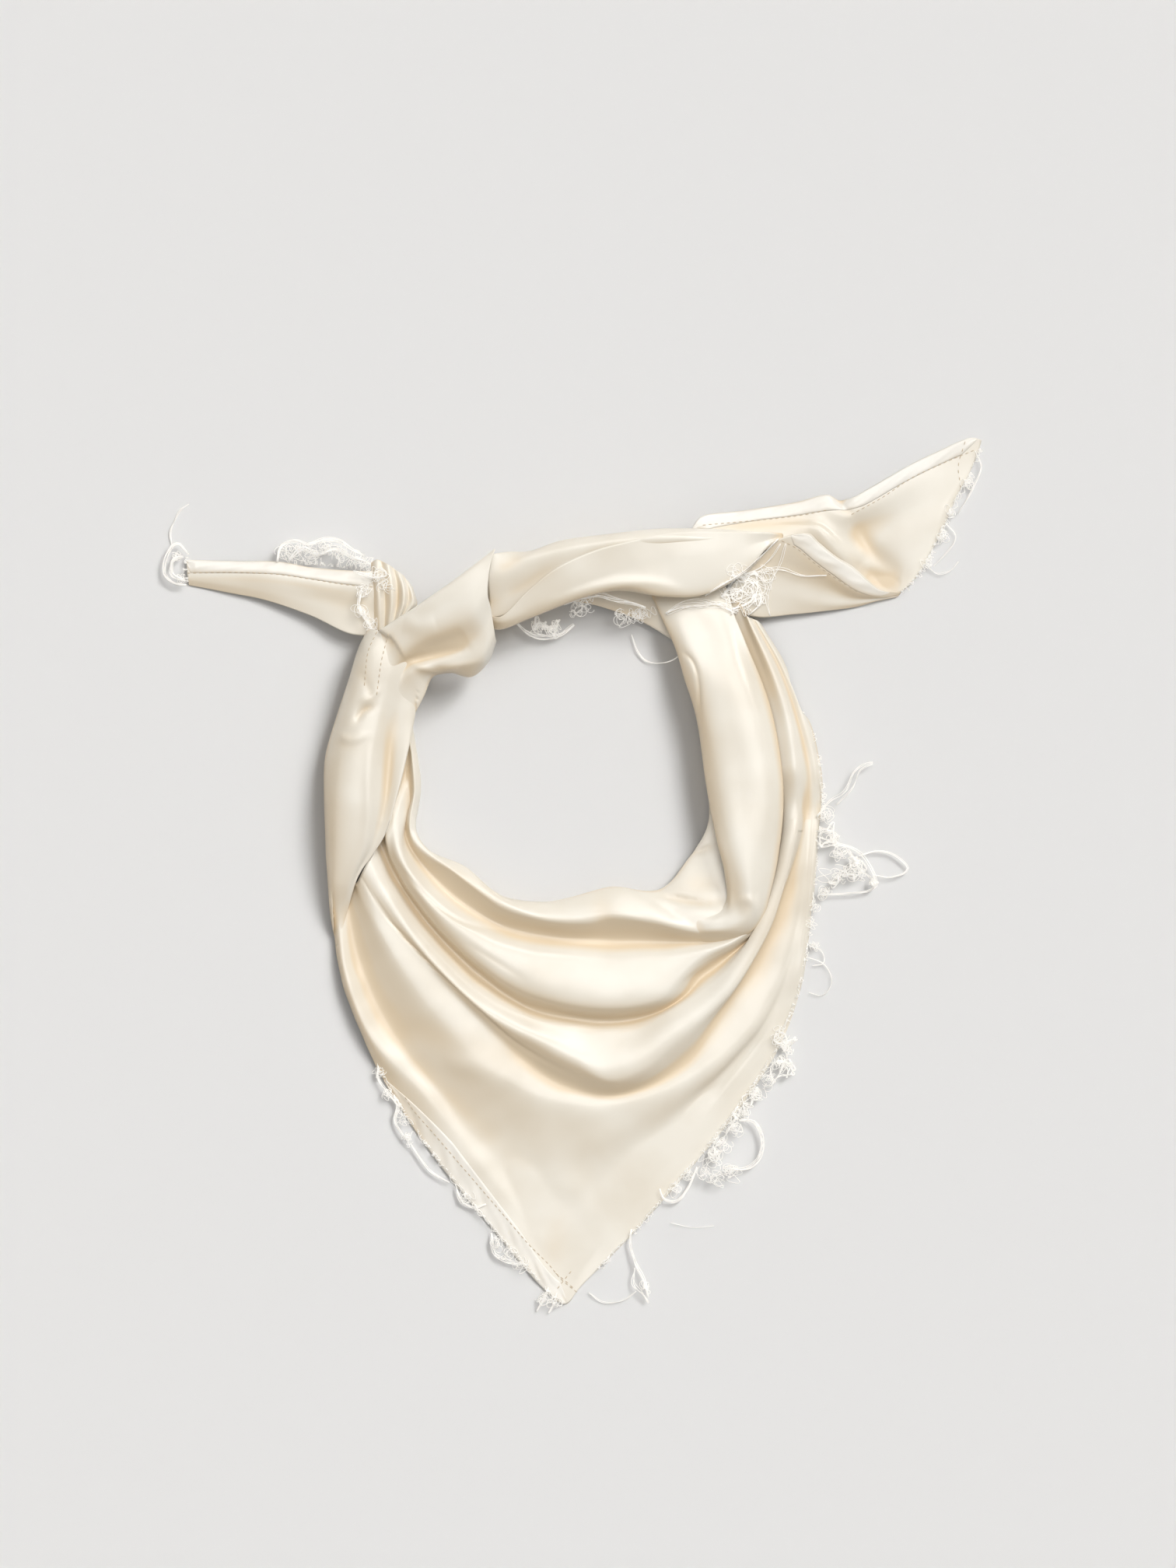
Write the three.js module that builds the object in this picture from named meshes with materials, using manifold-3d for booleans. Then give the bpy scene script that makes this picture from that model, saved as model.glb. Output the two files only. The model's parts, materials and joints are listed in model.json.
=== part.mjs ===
// Silk scarf laid flat: a satin square folded on its diagonal, its ends crossed above an open neck hole.
import * as THREE from 'three';
import { mergeVertices } from 'three/addons/utils/BufferGeometryUtils.js';
import Module from 'manifold-3d';

const wasm = await Module();
wasm.setup();

// Driving dimensions in millimetres
const leftTailLength = 64.8;
const leftBandWidth = 43.2;
const neckWidth = 129.6;
const rightBandWidth = 57.6;
const rightTailLength = 64.8;
const pointDepth = 97.2;
const cowlDepth = 90;
const neckHeight = 104.4;
const rollDepth = 68.4;
const tailRise = 42.5;
const foldRise = 10;
const clothWall = 1.2;
const hemWall = 0.9;
const clearance = 0.35;
const fringeThick = 1.6;
const fringeReach = 12;
const headDepth = 2.5;

// A lock of fringe leaves the head, reaches out and comes back in these steps
const lockProfile = [0, 1, 0.75];
const stepsPerLock = lockProfile.length;

// The plan chart: places are shares read off two rulers, 0 to 1 from the left tail's end to the right
// tail's end, and 0 to 1 from the bib's point to the top of the roll. Each zone has its own size.
const acrossZones = [
  { from: 0, to: 0.18, size: leftTailLength },
  { from: 0.18, to: 0.3, size: leftBandWidth },
  { from: 0.3, to: 0.66, size: neckWidth },
  { from: 0.66, to: 0.82, size: rightBandWidth },
  { from: 0.82, to: 1, size: rightTailLength },
];
const upZones = [
  { from: 0, to: 0.27, size: pointDepth },
  { from: 0.27, to: 0.52, size: cowlDepth },
  { from: 0.52, to: 0.81, size: neckHeight },
  { from: 0.81, to: 1, size: rollDepth },
  { from: 1, to: 1.118, size: tailRise },
];

function readRuler(zones, share) {
  let start = 0;
  for (const zone of zones) {
    const last = zone === zones[zones.length - 1];
    if (share <= zone.to || last) {
      return start + (share - zone.from) / (zone.to - zone.from) * zone.size;
    }
    start += zone.size;
  }
  return start;
}

// One place on the cloth: [across, up, rise], with the rise as a share of foldRise
function place([across, up, rise]) {
  return new THREE.Vector3(
    readRuler(acrossZones, across),
    readRuler(upZones, up),
    rise * foldRise,
  );
}

// Each table has a row for every fold line; a row lists places along that fold, and rows run
// from the first edge of the cloth to the last one.
const bibFolds = [
  { fold: 'tucked edge', run: [[.282, .725, .3], [.29, .61, .1], [.308, .572, .1], [.358, .548, .1],
    [.4, .518, .1], [.46, .508, .1], [.55, .525, .1], [.582, .528, .1], [.645, .552, .1], [.678, .61, .1]] },
  { fold: 'neck edge', run: [[.29, .748, .6], [.301, .67, .5], [.297, .598, .5], [.36, .564, .5],
    [.4, .53, .5], [.46, .52, .5], [.545, .539, .5], [.608, .535, .5], [.642, .572, .4], [.667, .61, .4]] },
  { fold: 'first ridge', run: [[.286, .743, .8], [.294, .67, .9], [.29, .605, 1], [.345, .558, 1.1],
    [.4, .518, 1.2], [.46, .498, 1.2], [.51, .498, 1.2], [.56, .524, 1.3], [.6, .513, 1.2],
    [.64, .52, .9], [.68, .56, .7], [.687, .61, .5]] },
  { fold: 'first valley', run: [[.281, .72, .6], [.287, .65, .6], [.282, .605, .6], [.325, .548, .55],
    [.4, .498, .5], [.47, .482, .5], [.54, .478, .5], [.6, .474, .7], [.665, .484, .7],
    [.702, .53, .4], [.702, .61, .4]] },
  { fold: 'second ridge', run: [[.272, .675, 1], [.266, .62, 1.1], [.274, .582, 1.3], [.32, .514, 1.3],
    [.39, .468, 1.2], [.47, .45, 1.2], [.56, .449, 1.2], [.64, .46, 1.1], [.7, .496, .55],
    [.718, .56, .5], [.718, .61, .5]] },
  { fold: 'second face', run: [[.262, .65, .9], [.256, .612, 1.1], [.268, .57, 1], [.32, .5, .9],
    [.4, .44, .85], [.49, .412, .8], [.6, .418, .8], [.67, .45, .75], [.715, .5, .45], [.733, .61, .5]] },
  { fold: 'second valley', run: [[.246, .6, .4], [.27, .55, .3], [.31, .492, .3], [.375, .434, .3],
    [.44, .392, .25], [.53, .37, .2], [.6, .38, .2], [.655, .424, .35], [.71, .47, .45],
    [.745, .545, .5], [.752, .61, .5]] },
  { fold: 'third lip', run: [[.24, .584, .8], [.263, .535, .9], [.302, .477, .9], [.38, .4, .9],
    [.46, .364, .9], [.55, .362, .9], [.64, .398, .9], [.7, .44, .9], [.74, .51, .9], [.766, .61, .9]] },
  { fold: 'third ridge', run: [[.233, .572, 1], [.262, .518, 1.1], [.32, .44, 1.15], [.385, .376, 1.15],
    [.45, .34, 1.1], [.54, .333, 1.1], [.63, .358, 1.1], [.7, .408, 1.1], [.75, .49, 1.1], [.782, .61, 1.1]] },
  { fold: 'third valley', run: [[.226, .558, .6], [.255, .505, .6], [.32, .428, .5], [.385, .365, .3],
    [.45, .308, .15], [.535, .278, .15], [.61, .306, .15], [.68, .374, .3], [.745, .475, .45],
    [.792, .61, .45]] },
  { fold: 'fourth ridge', run: [[.218, .545, .6], [.25, .48, .9], [.312, .385, .9], [.39, .305, .85],
    [.47, .265, .8], [.55, .259, .8], [.63, .284, .75], [.705, .335, .65], [.76, .43, .45], [.8, .61, .45]] },
  { fold: 'hip hollow', run: [[.207, .528, .3], [.22, .45, .3], [.265, .355, .3], [.34, .27, .2],
    [.43, .19, 0], [.5, .155, 0], [.57, .2, 0], [.65, .262, 0], [.735, .35, .1], [.785, .46, .25],
    [.805, .61, .3]] },
  { fold: 'edge ridge', run: [[.2, .51, .1], [.2, .44, .6], [.238, .345, .6], [.305, .272, .35],
    [.36, .2, .1], [.425, .115, 0], [.488, .04, 0], [.55, .1, 0], [.62, .18, 0], [.69, .27, 0],
    [.775, .385, .1], [.798, .5, .25], [.81, .61, .25]] },
  { fold: 'outer edge', run: [[.19, .5, 0], [.188, .46, .15], [.203, .41, .25], [.23, .34, .2],
    [.26, .28, 0], [.32, .19, 0], [.4, .092, 0], [.46, .022, 0], [.487, .003, 0], [.505, .024, 0],
    [.57, .09, 0], [.65, .18, 0], [.705, .247, 0], [.76, .33, 0], [.787, .401, 0], [.8, .48, 0],
    [.81, .58, 0], [.812, .61, 0]] },
];

const leftBandFolds = [
  { fold: 'tucked outer edge', run: [[.25, .868, .5], [.236, .84, .5], [.215, .75, .3], [.196, .68, .2], [.196, .54, .3],
    [.191, .49, .6]] },
  { fold: 'outer edge', run: [[.234, .87, .8], [.223, .848, 1.1], [.21, .806, 1], [.195, .761, .8], [.18, .71, .7],
    [.178, .66, .7], [.18, .6, .7], [.183, .53, .8], [.185, .484, .8]] },
  { fold: 'shoulder', run: [[.247, .868, 1.25], [.234, .842, 1.55], [.221, .795, 1.5], [.207, .735, 1.5], [.198, .66, 1.5],
    [.194, .565, 1.3], [.188, .485, 1]] },
  { fold: 'crown', run: [[.268, .855, 1.36], [.26, .825, 1.45], [.25, .775, 1.8], [.24, .725, 1.9], [.235, .665, 1.9],
    [.228, .59, 1.8], [.208, .54, 1.5], [.19, .482, 1.1]] },
  { fold: 'inner valley', run: [[.284, .828, .9], [.278, .798, 1.1], [.268, .745, 1.4], [.26, .69, 1.5], [.254, .64, 1.5],
    [.24, .595, 1.5], [.22, .56, 1.3], [.192, .481, 1.1]] },
  { fold: 'inner lip', run: [[.3, .808, .8], [.297, .785, 1], [.292, .748, 1.4], [.282, .7, 1.6], [.269, .65, 1.7],
    [.256, .608, 1.7], [.24, .584, 1.6], [.22, .555, 1.4], [.194, .481, 1]] },
  { fold: 'tucked lip', run: [[.292, .8, .5], [.287, .782, .7], [.28, .742, 1.1], [.268, .69, 1.3], [.25, .62, 1.25],
    [.23, .583, 1.3], [.21, .553, 1.1], [.193, .482, .8]] },
];

const rightBandFolds = [
  { fold: 'tucked inner edge', run: [[.62, .885, .5], [.642, .848, .4], [.66, .75, .3], [.678, .68, .3], [.686, .61, .7],
    [.694, .55, 1], [.704, .512, 1]] },
  { fold: 'inner edge', run: [[.606, .885, .8], [.628, .848, .9], [.641, .805, .9], [.656, .755, .9], [.667, .68, .9],
    [.674, .637, 1], [.682, .598, 1.2], [.693, .56, 1.25], [.7, .525, 1.2], [.697, .505, 1.1]] },
  { fold: 'inner shoulder', run: [[.622, .897, .9], [.638, .858, 1.3], [.655, .805, 1.5], [.668, .755, 1.6],
    [.682, .677, 1.6], [.696, .595, 1.75], [.711, .53, 1.6], [.71, .502, 1.2]] },
  { fold: 'crown', run: [[.65, .908, .9], [.665, .87, 1.3], [.685, .81, 1.8], [.698, .755, 1.9], [.712, .67, 1.9],
    [.717, .59, 1.9], [.723, .53, 1.6], [.722, .498, 1.2]] },
  { fold: 'outer slope', run: [[.682, .912, .9], [.69, .88, 1.2], [.71, .82, 1.6], [.728, .765, 1.7], [.745, .67, 1.7],
    [.74, .59, 1.6], [.733, .52, 1.3], [.728, .492, 1.1]] },
  { fold: 'crease edge', run: [[.698, .912, .8], [.703, .89, 1], [.717, .856, 1.15], [.75, .77, 1.2], [.766, .67, 1.25],
    [.76, .58, 1.2], [.748, .532, 1.1], [.736, .494, 1]] },
];

const rightUnderFolds = [
  { fold: 'hidden edge', run: [[.69, .905, .3], [.7, .88, .5], [.725, .81, .5], [.748, .74, .5], [.752, .68, .5],
    [.75, .611, .5]] },
  { fold: 'crease line', run: [[.706, .908, .5], [.712, .888, .6], [.742, .81, .7], [.764, .74, .75], [.77, .68, .8],
    [.768, .611, .9]] },
  { fold: 'strip ridge', run: [[.72, .887, 1.1], [.752, .82, 1.2], [.775, .75, 1.2], [.784, .68, 1.2],
    [.782, .611, 1.1]] },
  { fold: 'strip valley', run: [[.727, .884, .7], [.762, .82, .6], [.786, .75, .5], [.8, .68, .45],
    [.793, .611, .45]] },
  { fold: 'outer slope', run: [[.732, .882, .7], [.767, .82, .6], [.794, .75, .5], [.81, .68, .4],
    [.803, .611, .4]] },
  { fold: 'outer edge', run: [[.738, .877, .4], [.77, .823, .3], [.782, .775, .2], [.8, .752, .1],
    [.813, .704, 0], [.817, .673, 0], [.812, .611, 0]] },
];

const wrapFolds = [
  { fold: 'tucked upper edge', run: [[.262, .845, 1.5], [.305, .88, 1.5], [.35, .912, 1.6], [.386, .95, 1.85]] },
  { fold: 'upper edge', run: [[.246, .866, 1.9], [.28, .888, 2], [.315, .911, 2.1], [.36, .943, 2.3],
    [.397, .972, 2.3]] },
  { fold: 'upper crown', run: [[.25, .838, 2.2], [.285, .868, 2.7], [.325, .895, 3], [.365, .922, 3.1],
    [.391, .95, 3]] },
  { fold: 'bright roll', run: [[.253, .818, 2.1], [.29, .85, 2.7], [.33, .872, 3], [.368, .89, 3.1],
    [.388, .914, 3]] },
  { fold: 'wrap valley', run: [[.258, .8, 2], [.28, .824, 2.1], [.31, .836, 2.2], [.35, .846, 2.4],
    [.38, .868, 2.6], [.392, .895, 2.7]] },
  { fold: 'lower ridge', run: [[.266, .778, 2.1], [.29, .812, 2.3], [.32, .822, 2.4], [.352, .824, 2.4],
    [.38, .832, 2.4], [.397, .862, 2.5]] },
  { fold: 'lower edge', run: [[.29, .756, 1.9], [.305, .784, 1.8], [.318, .81, 1.5], [.34, .815, 1.4],
    [.366, .81, 1.4], [.388, .83, 1.5], [.397, .852, 1.7]] },
  { fold: 'tucked lower edge', run: [[.278, .768, 1.8], [.3, .8, 1.5], [.322, .824, 1.2],
    [.358, .828, 1.1], [.38, .845, 1.2]] },
];

const rollFolds = [
  { fold: 'lap edge', run: [[.388, .888, 2], [.404, .886, 2.1], [.44, .92, 2.3], [.475, .948, 2.5], [.525, .971, 2.5],
    [.6, .984, 2.4], [.68, .982, 2.1], [.748, .985, 1.6]] },
  { fold: 'front crown', run: [[.388, .883, 1.9], [.404, .878, 2], [.45, .898, 2.3], [.49, .92, 2.6], [.55, .943, 2.6],
    [.61, .958, 2.5], [.68, .964, 2.2], [.735, .974, 1.7]] },
  { fold: 'front edge', run: [[.384, .879, 1.5], [.4, .87, 1.5], [.44, .884, 1.6], [.5, .909, 1.8], [.562, .924, 1.8],
    [.61, .914, 1.7], [.666, .916, 1.7], [.715, .943, 1.6], [.756, .983, 1.5]] },
  { fold: 'under front', run: [[.39, .886, 1.2], [.406, .882, 1], [.45, .895, 1.1], [.505, .918, 1.2], [.56, .932, 1.2],
    [.61, .928, 1.2], [.665, .932, 1.3], [.71, .958, 1.4]] },
  { fold: 'under back', run: [[.395, .93, 1.2], [.415, .94, 1], [.46, .958, 1.1], [.52, .972, 1.2], [.6, .982, 1.3],
    [.68, .984, 1.3], [.735, .985, 1.35]] },
  { fold: 'back edge', run: [[.387, .953, 1.8], [.404, .962, 1.5], [.44, .968, 1.5], [.48, .983, 1.7], [.54, .991, 1.8],
    [.605, .998, 1.8], [.675, .998, 1.7], [.735, .994, 1.6], [.76, .993, 1.45]] },
  { fold: 'back crown', run: [[.388, .938, 2.05], [.404, .95, 2.1], [.46, .968, 2.2], [.51, .978, 2.3], [.6, .988, 2.2],
    [.68, .987, 1.95], [.74, .989, 1.5]] },
  { fold: 'inner turn', run: [[.39, .922, 1.85], [.405, .925, 1.9], [.46, .948, 2.05], [.51, .962, 2.2], [.6, .974, 2.15],
    [.68, .974, 1.9], [.735, .98, 1.5]] },
];

const underFolds = [
  { fold: 'far edge', run: [[.29, .935, .2], [.36, .94, 0], [.46, .945, 0], [.56, .955, 0], [.64, .96, .1]] },
  { fold: 'back slope', run: [[.296, .912, .7], [.36, .915, .7], [.46, .93, .6], [.56, .942, .5],
    [.64, .938, .5]] },
  { fold: 'front slope', run: [[.297, .895, .6], [.36, .89, .6], [.46, .905, .5], [.55, .915, .4],
    [.635, .905, .4]] },
  { fold: 'lower edge', run: [[.292, .88, .3], [.36, .868, 0], [.45, .88, 0], [.515, .896, .1],
    [.551, .893, .1], [.59, .878, .1], [.626, .856, .2]] },
];

const pleatFolds = [
  { fold: 'top edge', run: [[.243, .956, .5], [.262, .951, .6], [.284, .936, .8], [.292, .92, .9]] },
  { fold: 'first ridge', run: [[.243, .95, 1], [.264, .942, 1.3], [.282, .926, 1.4], [.29, .912, 1.3]] },
  { fold: 'first valley', run: [[.243, .938, .8], [.262, .93, .9], [.278, .918, 1], [.288, .908, 1]] },
  { fold: 'second ridge', run: [[.243, .926, 1.2], [.262, .92, 1.4], [.276, .91, 1.4], [.286, .902, 1.3]] },
  { fold: 'second valley', run: [[.243, .912, .8], [.26, .905, .9], [.272, .9, 1], [.282, .894, 1]] },
  { fold: 'third ridge', run: [[.243, .9, 1.1], [.26, .894, 1.3], [.27, .89, 1.3], [.28, .888, 1.2]] },
  { fold: 'lower edge', run: [[.243, .868, .4], [.262, .876, .5], [.272, .88, .7], [.278, .884, .9]] },
];

const leftTailFolds = [
  { fold: 'top edge', run: [[0, .96, .1], [.064, .958, .2], [.122, .957, .1], [.16, .95, .1], [.204, .946, .1],
    [.242, .945, .15]] },
  { fold: 'hem line', run: [[.001, .942, .15], [.08, .941, .3], [.12, .939, .4], [.16, .933, .5],
    [.204, .926, .6], [.242, .922, .7]] },
  { fold: 'middle', run: [[.002, .935, .1], [.08, .925, .2], [.14, .912, .3], [.2, .895, .4], [.242, .888, .5]] },
  { fold: 'lower edge', run: [[.003, .928, 0], [.061, .917, 0], [.1, .909, 0], [.161, .888, 0],
    [.21, .865, .1], [.242, .862, .2]] },
];

const rightTailFolds = [
  { fold: 'top edge', run: [[.649, .998, 1.16], [.664, 1.014, 1], [.72, 1.023, .7], [.785, 1.034, .5],
    [.834, 1.041, .5], [.878, 1.052, .4], [.93, 1.082, .2], [.975, 1.103, .1], [1.02, 1.116, 0]] },
  { fold: 'hem line', run: [[.655, .992, 1.16], [.72, 1.006, 1], [.796, 1.015, .7], [.84, 1.02, .7],
    [.867, 1.025, .5], [.922, 1.055, .3], [.974, 1.081, .1], [1.018, 1.1, 0]] },
  { fold: 'upper ridge', run: [[.69, .985, 1.18], [.76, 1, 1], [.81, 1, .9], [.84, .988, .6], [.87, 1, .2],
    [.92, 1.02, .2], [.97, 1.04, .1], [1.008, 1.075, 0]] },
  { fold: 'fold valley', run: [[.72, .978, 1.2], [.79, .978, .9], [.83, .972, .7], [.875, .968, .2],
    [.92, .99, .2], [.965, 1.01, .1], [.99, 1.042, 0]] },
  { fold: 'lower slope', run: [[.76, .97, .7], [.81, .96, .6], [.85, .94, .4], [.885, .935, .1],
    [.925, .955, .1], [.955, .972, .05], [.972, 1, 0]] },
  { fold: 'bottom edge', run: [[.79, .955, .4], [.83, .935, .3], [.87, .926, .1], [.9, .925, 0],
    [.925, .929, 0], [.942, .945, 0], [.956, .97, 0]] },
];

const flapFolds = [
  { fold: 'upper fold', run: [[.764, .984, 1.2], [.782, .992, 1.4], [.8, .993, 1.4], [.812, .982, 1.35],
    [.834, .964, 1.2], [.856, .951, .9], [.875, .934, .7], [.891, .922, .5], [.918, .918, .2]] },
  { fold: 'hem line', run: [[.75, .975, 1.3], [.763, .985, 1.45], [.784, .976, 1.3], [.806, .958, 1.2],
    [.828, .942, 1], [.861, .92, .7], [.89, .912, .3], [.916, .916, .1]] },
  { fold: 'middle', run: [[.722, .95, 1], [.77, .944, .8], [.82, .925, .5], [.86, .911, .2], [.915, .914, .05]] },
  { fold: 'lower slope', run: [[.7, .925, .8], [.75, .915, .5], [.8, .905, .2], [.85, .902, .1],
    [.913, .913, 0]] },
  { fold: 'bottom edge', run: [[.69, .905, .6], [.728, .887, .2], [.779, .89, 0], [.823, .895, 0],
    [.861, .9, 0], [.894, .91, 0], [.911, .915, 0]] },
];

// Fringe bunches lie on the surface beside a cloth edge, between two places [u, v] of its sheet;
// lock lengths are shares of fringeReach
const fringeBunches = [
  { name: 'tail_tip_fringe', on: 'left_tail', from: [0, 1], to: [0, 0], locks: [.9, 1.3, 1.5, .9] },
  { name: 'knot_fringe', on: 'left_tail', from: [.5, 0], to: [.97, 0],
    locks: [.9, 1.5, 1.6, 1.5, 1.5, 1.2, .8] },
  { name: 'band_fringe', on: 'right_band_under', from: [.08, 1], to: [1, 1],
    locks: [.4, .5, .4, .4, .5, .6, .5, .6, .5] },
  { name: 'net_fringe', on: 'bib', from: [.995, 1], to: [.84, 1],
    locks: [1, 2.4, 3.2, 2.8, 1, .4, .5, .5, 1.1, 1.2, .5] },
  { name: 'right_tail_fringe', on: 'right_tail', from: [1, 0], to: [1, 1],
    locks: [.3, .4, .5, .6, .8, 1, .9, .6] },
  { name: 'bib_right_fringe', on: 'bib', from: [.79, 1], to: [.53, 1],
    locks: [1.2, 1.3, 1.1, .8, 1.2, 1.5, 1.6, 1.4, 1.2, 1.3, .6, .5] },
  { name: 'bib_left_fringe', on: 'bib', from: [.485, 1], to: [.25, 1],
    locks: [1.1, .9, .3, .5, 1.2, 1, .5, .7, 1.2, .8, .9, .7] },
];

function runCurve(points) {
  return new THREE.CatmullRomCurve3(points, false, 'centripetal');
}

// A cloth surface through its fold lines; u runs along the folds and v from the first to the last
function clothSurface(folds) {
  const runs = folds.map((row) => runCurve(row.run.map(place)));
  return (u, v) => {
    const column = runCurve(runs.map((run) => run.getPointAt(u)));
    const point = column.getPoint(v);
    point.z = Math.max(point.z, 0);
    return point;
  };
}

// Samples part of a surface as a grid of rows, each with its normals
function sampleGrid(surface, { along, across, uRange = [0, 1], vRange = [0, 1] }) {
  const grid = [];
  for (let i = 0; i <= along; i++) {
    const u = THREE.MathUtils.lerp(uRange[0], uRange[1], i / along);
    const line = [];
    for (let j = 0; j <= across; j++) {
      line.push(surface(u, THREE.MathUtils.lerp(vRange[0], vRange[1], j / across)));
    }
    grid.push(line);
  }
  return grid;
}

function gridNormal(grid, i, j) {
  const line = grid[i];
  const next = grid[Math.min(i + 1, grid.length - 1)][j];
  const previous = grid[Math.max(i - 1, 0)][j];
  const right = line[Math.min(j + 1, line.length - 1)];
  const left = line[Math.max(j - 1, 0)];
  const normal = new THREE.Vector3().crossVectors(
    next.clone().sub(previous),
    right.clone().sub(left),
  );
  return normal.normalize();
}

// Says whether a grid's normals point up on the whole
function gridFacing(grid) {
  let upward = 0;
  grid.forEach((line, i) => line.forEach((point, j) => {
    upward += gridNormal(grid, i, j).z;
  }));
  return upward > 0 ? 1 : -1;
}

// Closes two skins of one grid into a solid; margin swells it, lift raises it along its normal
function closeGrid(grid, { wall, margin = 0, lift = 0 }) {
  const rows = grid.length;
  const columns = grid[0].length;
  const facing = gridFacing(grid);
  const positions = [];
  const skins = [
    { offset: lift + wall / 2 + margin, lowest: wall + margin },
    { offset: lift - wall / 2 - margin, lowest: -margin },
  ];
  for (const { offset, lowest } of skins) {
    for (let i = 0; i < rows; i++) {
      for (let j = 0; j < columns; j++) {
        const point = gridNormal(grid, i, j).multiplyScalar(facing * offset).add(grid[i][j]);
        positions.push(point.x, point.y, Math.max(point.z + wall / 2, lowest));
      }
    }
  }
  const corner = (skin, i, j) => skin * rows * columns + i * columns + j;
  const faces = [];
  const quad = (a, b, c, d) => {
    if (facing > 0) {
      faces.push(a, b, c, a, c, d);
    } else {
      faces.push(a, c, b, a, d, c);
    }
  };
  for (let i = 0; i < rows - 1; i++) {
    for (let j = 0; j < columns - 1; j++) {
      quad(corner(0, i, j), corner(0, i + 1, j), corner(0, i + 1, j + 1), corner(0, i, j + 1));
      quad(corner(1, i, j), corner(1, i, j + 1), corner(1, i + 1, j + 1), corner(1, i + 1, j));
    }
  }
  for (let i = 0; i < rows - 1; i++) {
    quad(corner(0, i + 1, 0), corner(0, i, 0), corner(1, i, 0), corner(1, i + 1, 0));
    const j = columns - 1;
    quad(corner(0, i, j), corner(0, i + 1, j), corner(1, i + 1, j), corner(1, i, j));
  }
  for (let j = 0; j < columns - 1; j++) {
    quad(corner(0, 0, j), corner(0, 0, j + 1), corner(1, 0, j + 1), corner(1, 0, j));
    const i = rows - 1;
    quad(corner(0, i, j + 1), corner(0, i, j), corner(1, i, j), corner(1, i, j + 1));
  }
  return meshSolid(positions, faces);
}

function meshSolid(positions, faces) {
  return new wasm.Manifold(new wasm.Mesh({
    numProp: 3,
    vertProperties: new Float32Array(positions),
    triVerts: new Uint32Array(faces),
  }));
}

function geometrySolid(geometry) {
  geometry.deleteAttribute('normal');
  geometry.deleteAttribute('uv');
  const merged = mergeVertices(geometry, 1e-4);
  return meshSolid(merged.attributes.position.array, merged.index.array);
}

function largestPiece(solid) {
  const bodies = solid.decompose();
  bodies.sort((a, b) => b.volume() - a.volume());
  return bodies[0];
}

function solidGeometry(solid) {
  const { vertProperties, triVerts, numProp } = solid.getMesh();
  const positions = new Float32Array(vertProperties.length / numProp * 3);
  for (let i = 0; i < vertProperties.length / numProp; i++) {
    for (let k = 0; k < 3; k++) {
      positions[i * 3 + k] = vertProperties[i * numProp + k];
    }
  }
  const geometry = new THREE.BufferGeometry();
  geometry.setAttribute('position', new THREE.BufferAttribute(positions, 3));
  geometry.setIndex(Array.from(triVerts));
  geometry.computeVertexNormals();
  return geometry;
}

// A fringe bunch: a flat head along the cloth edge with tapering locks, cut as one outline
function fringeSolid(surface, { from, to, locks }) {
  const steps = locks.length * stepsPerLock;
  const middle = surface(0.5, 0.5);
  const edge = [];
  for (let i = 0; i <= steps; i++) {
    const share = i / steps;
    const spot = surface(
      THREE.MathUtils.lerp(from[0], to[0], share),
      THREE.MathUtils.lerp(from[1], to[1], share),
    );
    edge.push(new THREE.Vector2(spot.x, spot.y));
  }
  const inner = [];
  const outer = [];
  edge.forEach((spot, i) => {
    const along = edge[Math.min(i + 1, steps)].clone().sub(edge[Math.max(i - 1, 0)]).normalize();
    const outward = new THREE.Vector2(along.y, -along.x);
    if (outward.dot(spot.clone().sub(middle)) < 0) {
      outward.negate();
    }
    const lock = locks[Math.min(Math.floor(i / stepsPerLock), locks.length - 1)];
    const reach = fringeReach * lock * lockProfile[i % stepsPerLock];
    inner.push(spot.clone().addScaledVector(outward, clearance));
    outer.push(spot.clone().addScaledVector(outward, clearance + headDepth + reach));
  });
  const shape = new THREE.Shape(inner.concat(outer.reverse()));
  return geometrySolid(new THREE.ExtrudeGeometry(shape, { depth: fringeThick, bevelEnabled: false }));
}

const satin = { color: 0xefe6d6, roughness: 0.35, metalness: 0 };
const hemSatin = { color: 0xf7f2e8, roughness: 0.4, metalness: 0 };
const thread = { color: 0xf2ece0, roughness: 0.8, metalness: 0 };

// Cloth pieces from the topmost down: each one gives way to those above it
const sheets = [
  { name: 'knot_wrap', folds: wrapFolds, along: 10, across: 14 },
  { name: 'cross_roll', folds: rollFolds, along: 16, across: 14 },
  { name: 'left_band', folds: leftBandFolds, along: 14, across: 12 },
  { name: 'right_band', folds: rightBandFolds, along: 15, across: 10 },
  { name: 'right_tail_flap', folds: flapFolds, along: 14, across: 8 },
  { name: 'bib', folds: bibFolds, along: 29, across: 26 },
  { name: 'right_band_under', folds: rightUnderFolds, along: 10, across: 10 },
  { name: 'knot_pleats', folds: pleatFolds, along: 5, across: 12 },
  { name: 'left_tail', folds: leftTailFolds, along: 10, across: 6 },
  { name: 'right_tail', folds: rightTailFolds, along: 14, across: 10 },
  { name: 'under_strand', folds: underFolds, along: 10, across: 6 },
];

const hems = [
  { name: 'left_tail_hem', on: 'left_tail', uRange: [0.01, 0.98], vRange: [0.02, 0.32], along: 12, across: 2 },
  { name: 'right_tail_hem', on: 'right_tail', uRange: [0.02, 0.97], vRange: [0.01, 0.18], along: 16, across: 2 },
  { name: 'flap_hem', on: 'right_tail_flap', uRange: [0.12, 0.8], vRange: [0.02, 0.24], along: 12, across: 2 },
  { name: 'bib_hem', on: 'bib', uRange: [0.24, 0.47], vRange: [0.95, 0.995], along: 12, across: 2 },
];

const group = new THREE.Group();
const surfaces = new Map();
const keepOuts = [];

function addPiece(name, body, finish) {
  const mesh = new THREE.Mesh(solidGeometry(largestPiece(body)), new THREE.MeshStandardMaterial(finish));
  mesh.name = name;
  group.add(mesh);
}

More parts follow.
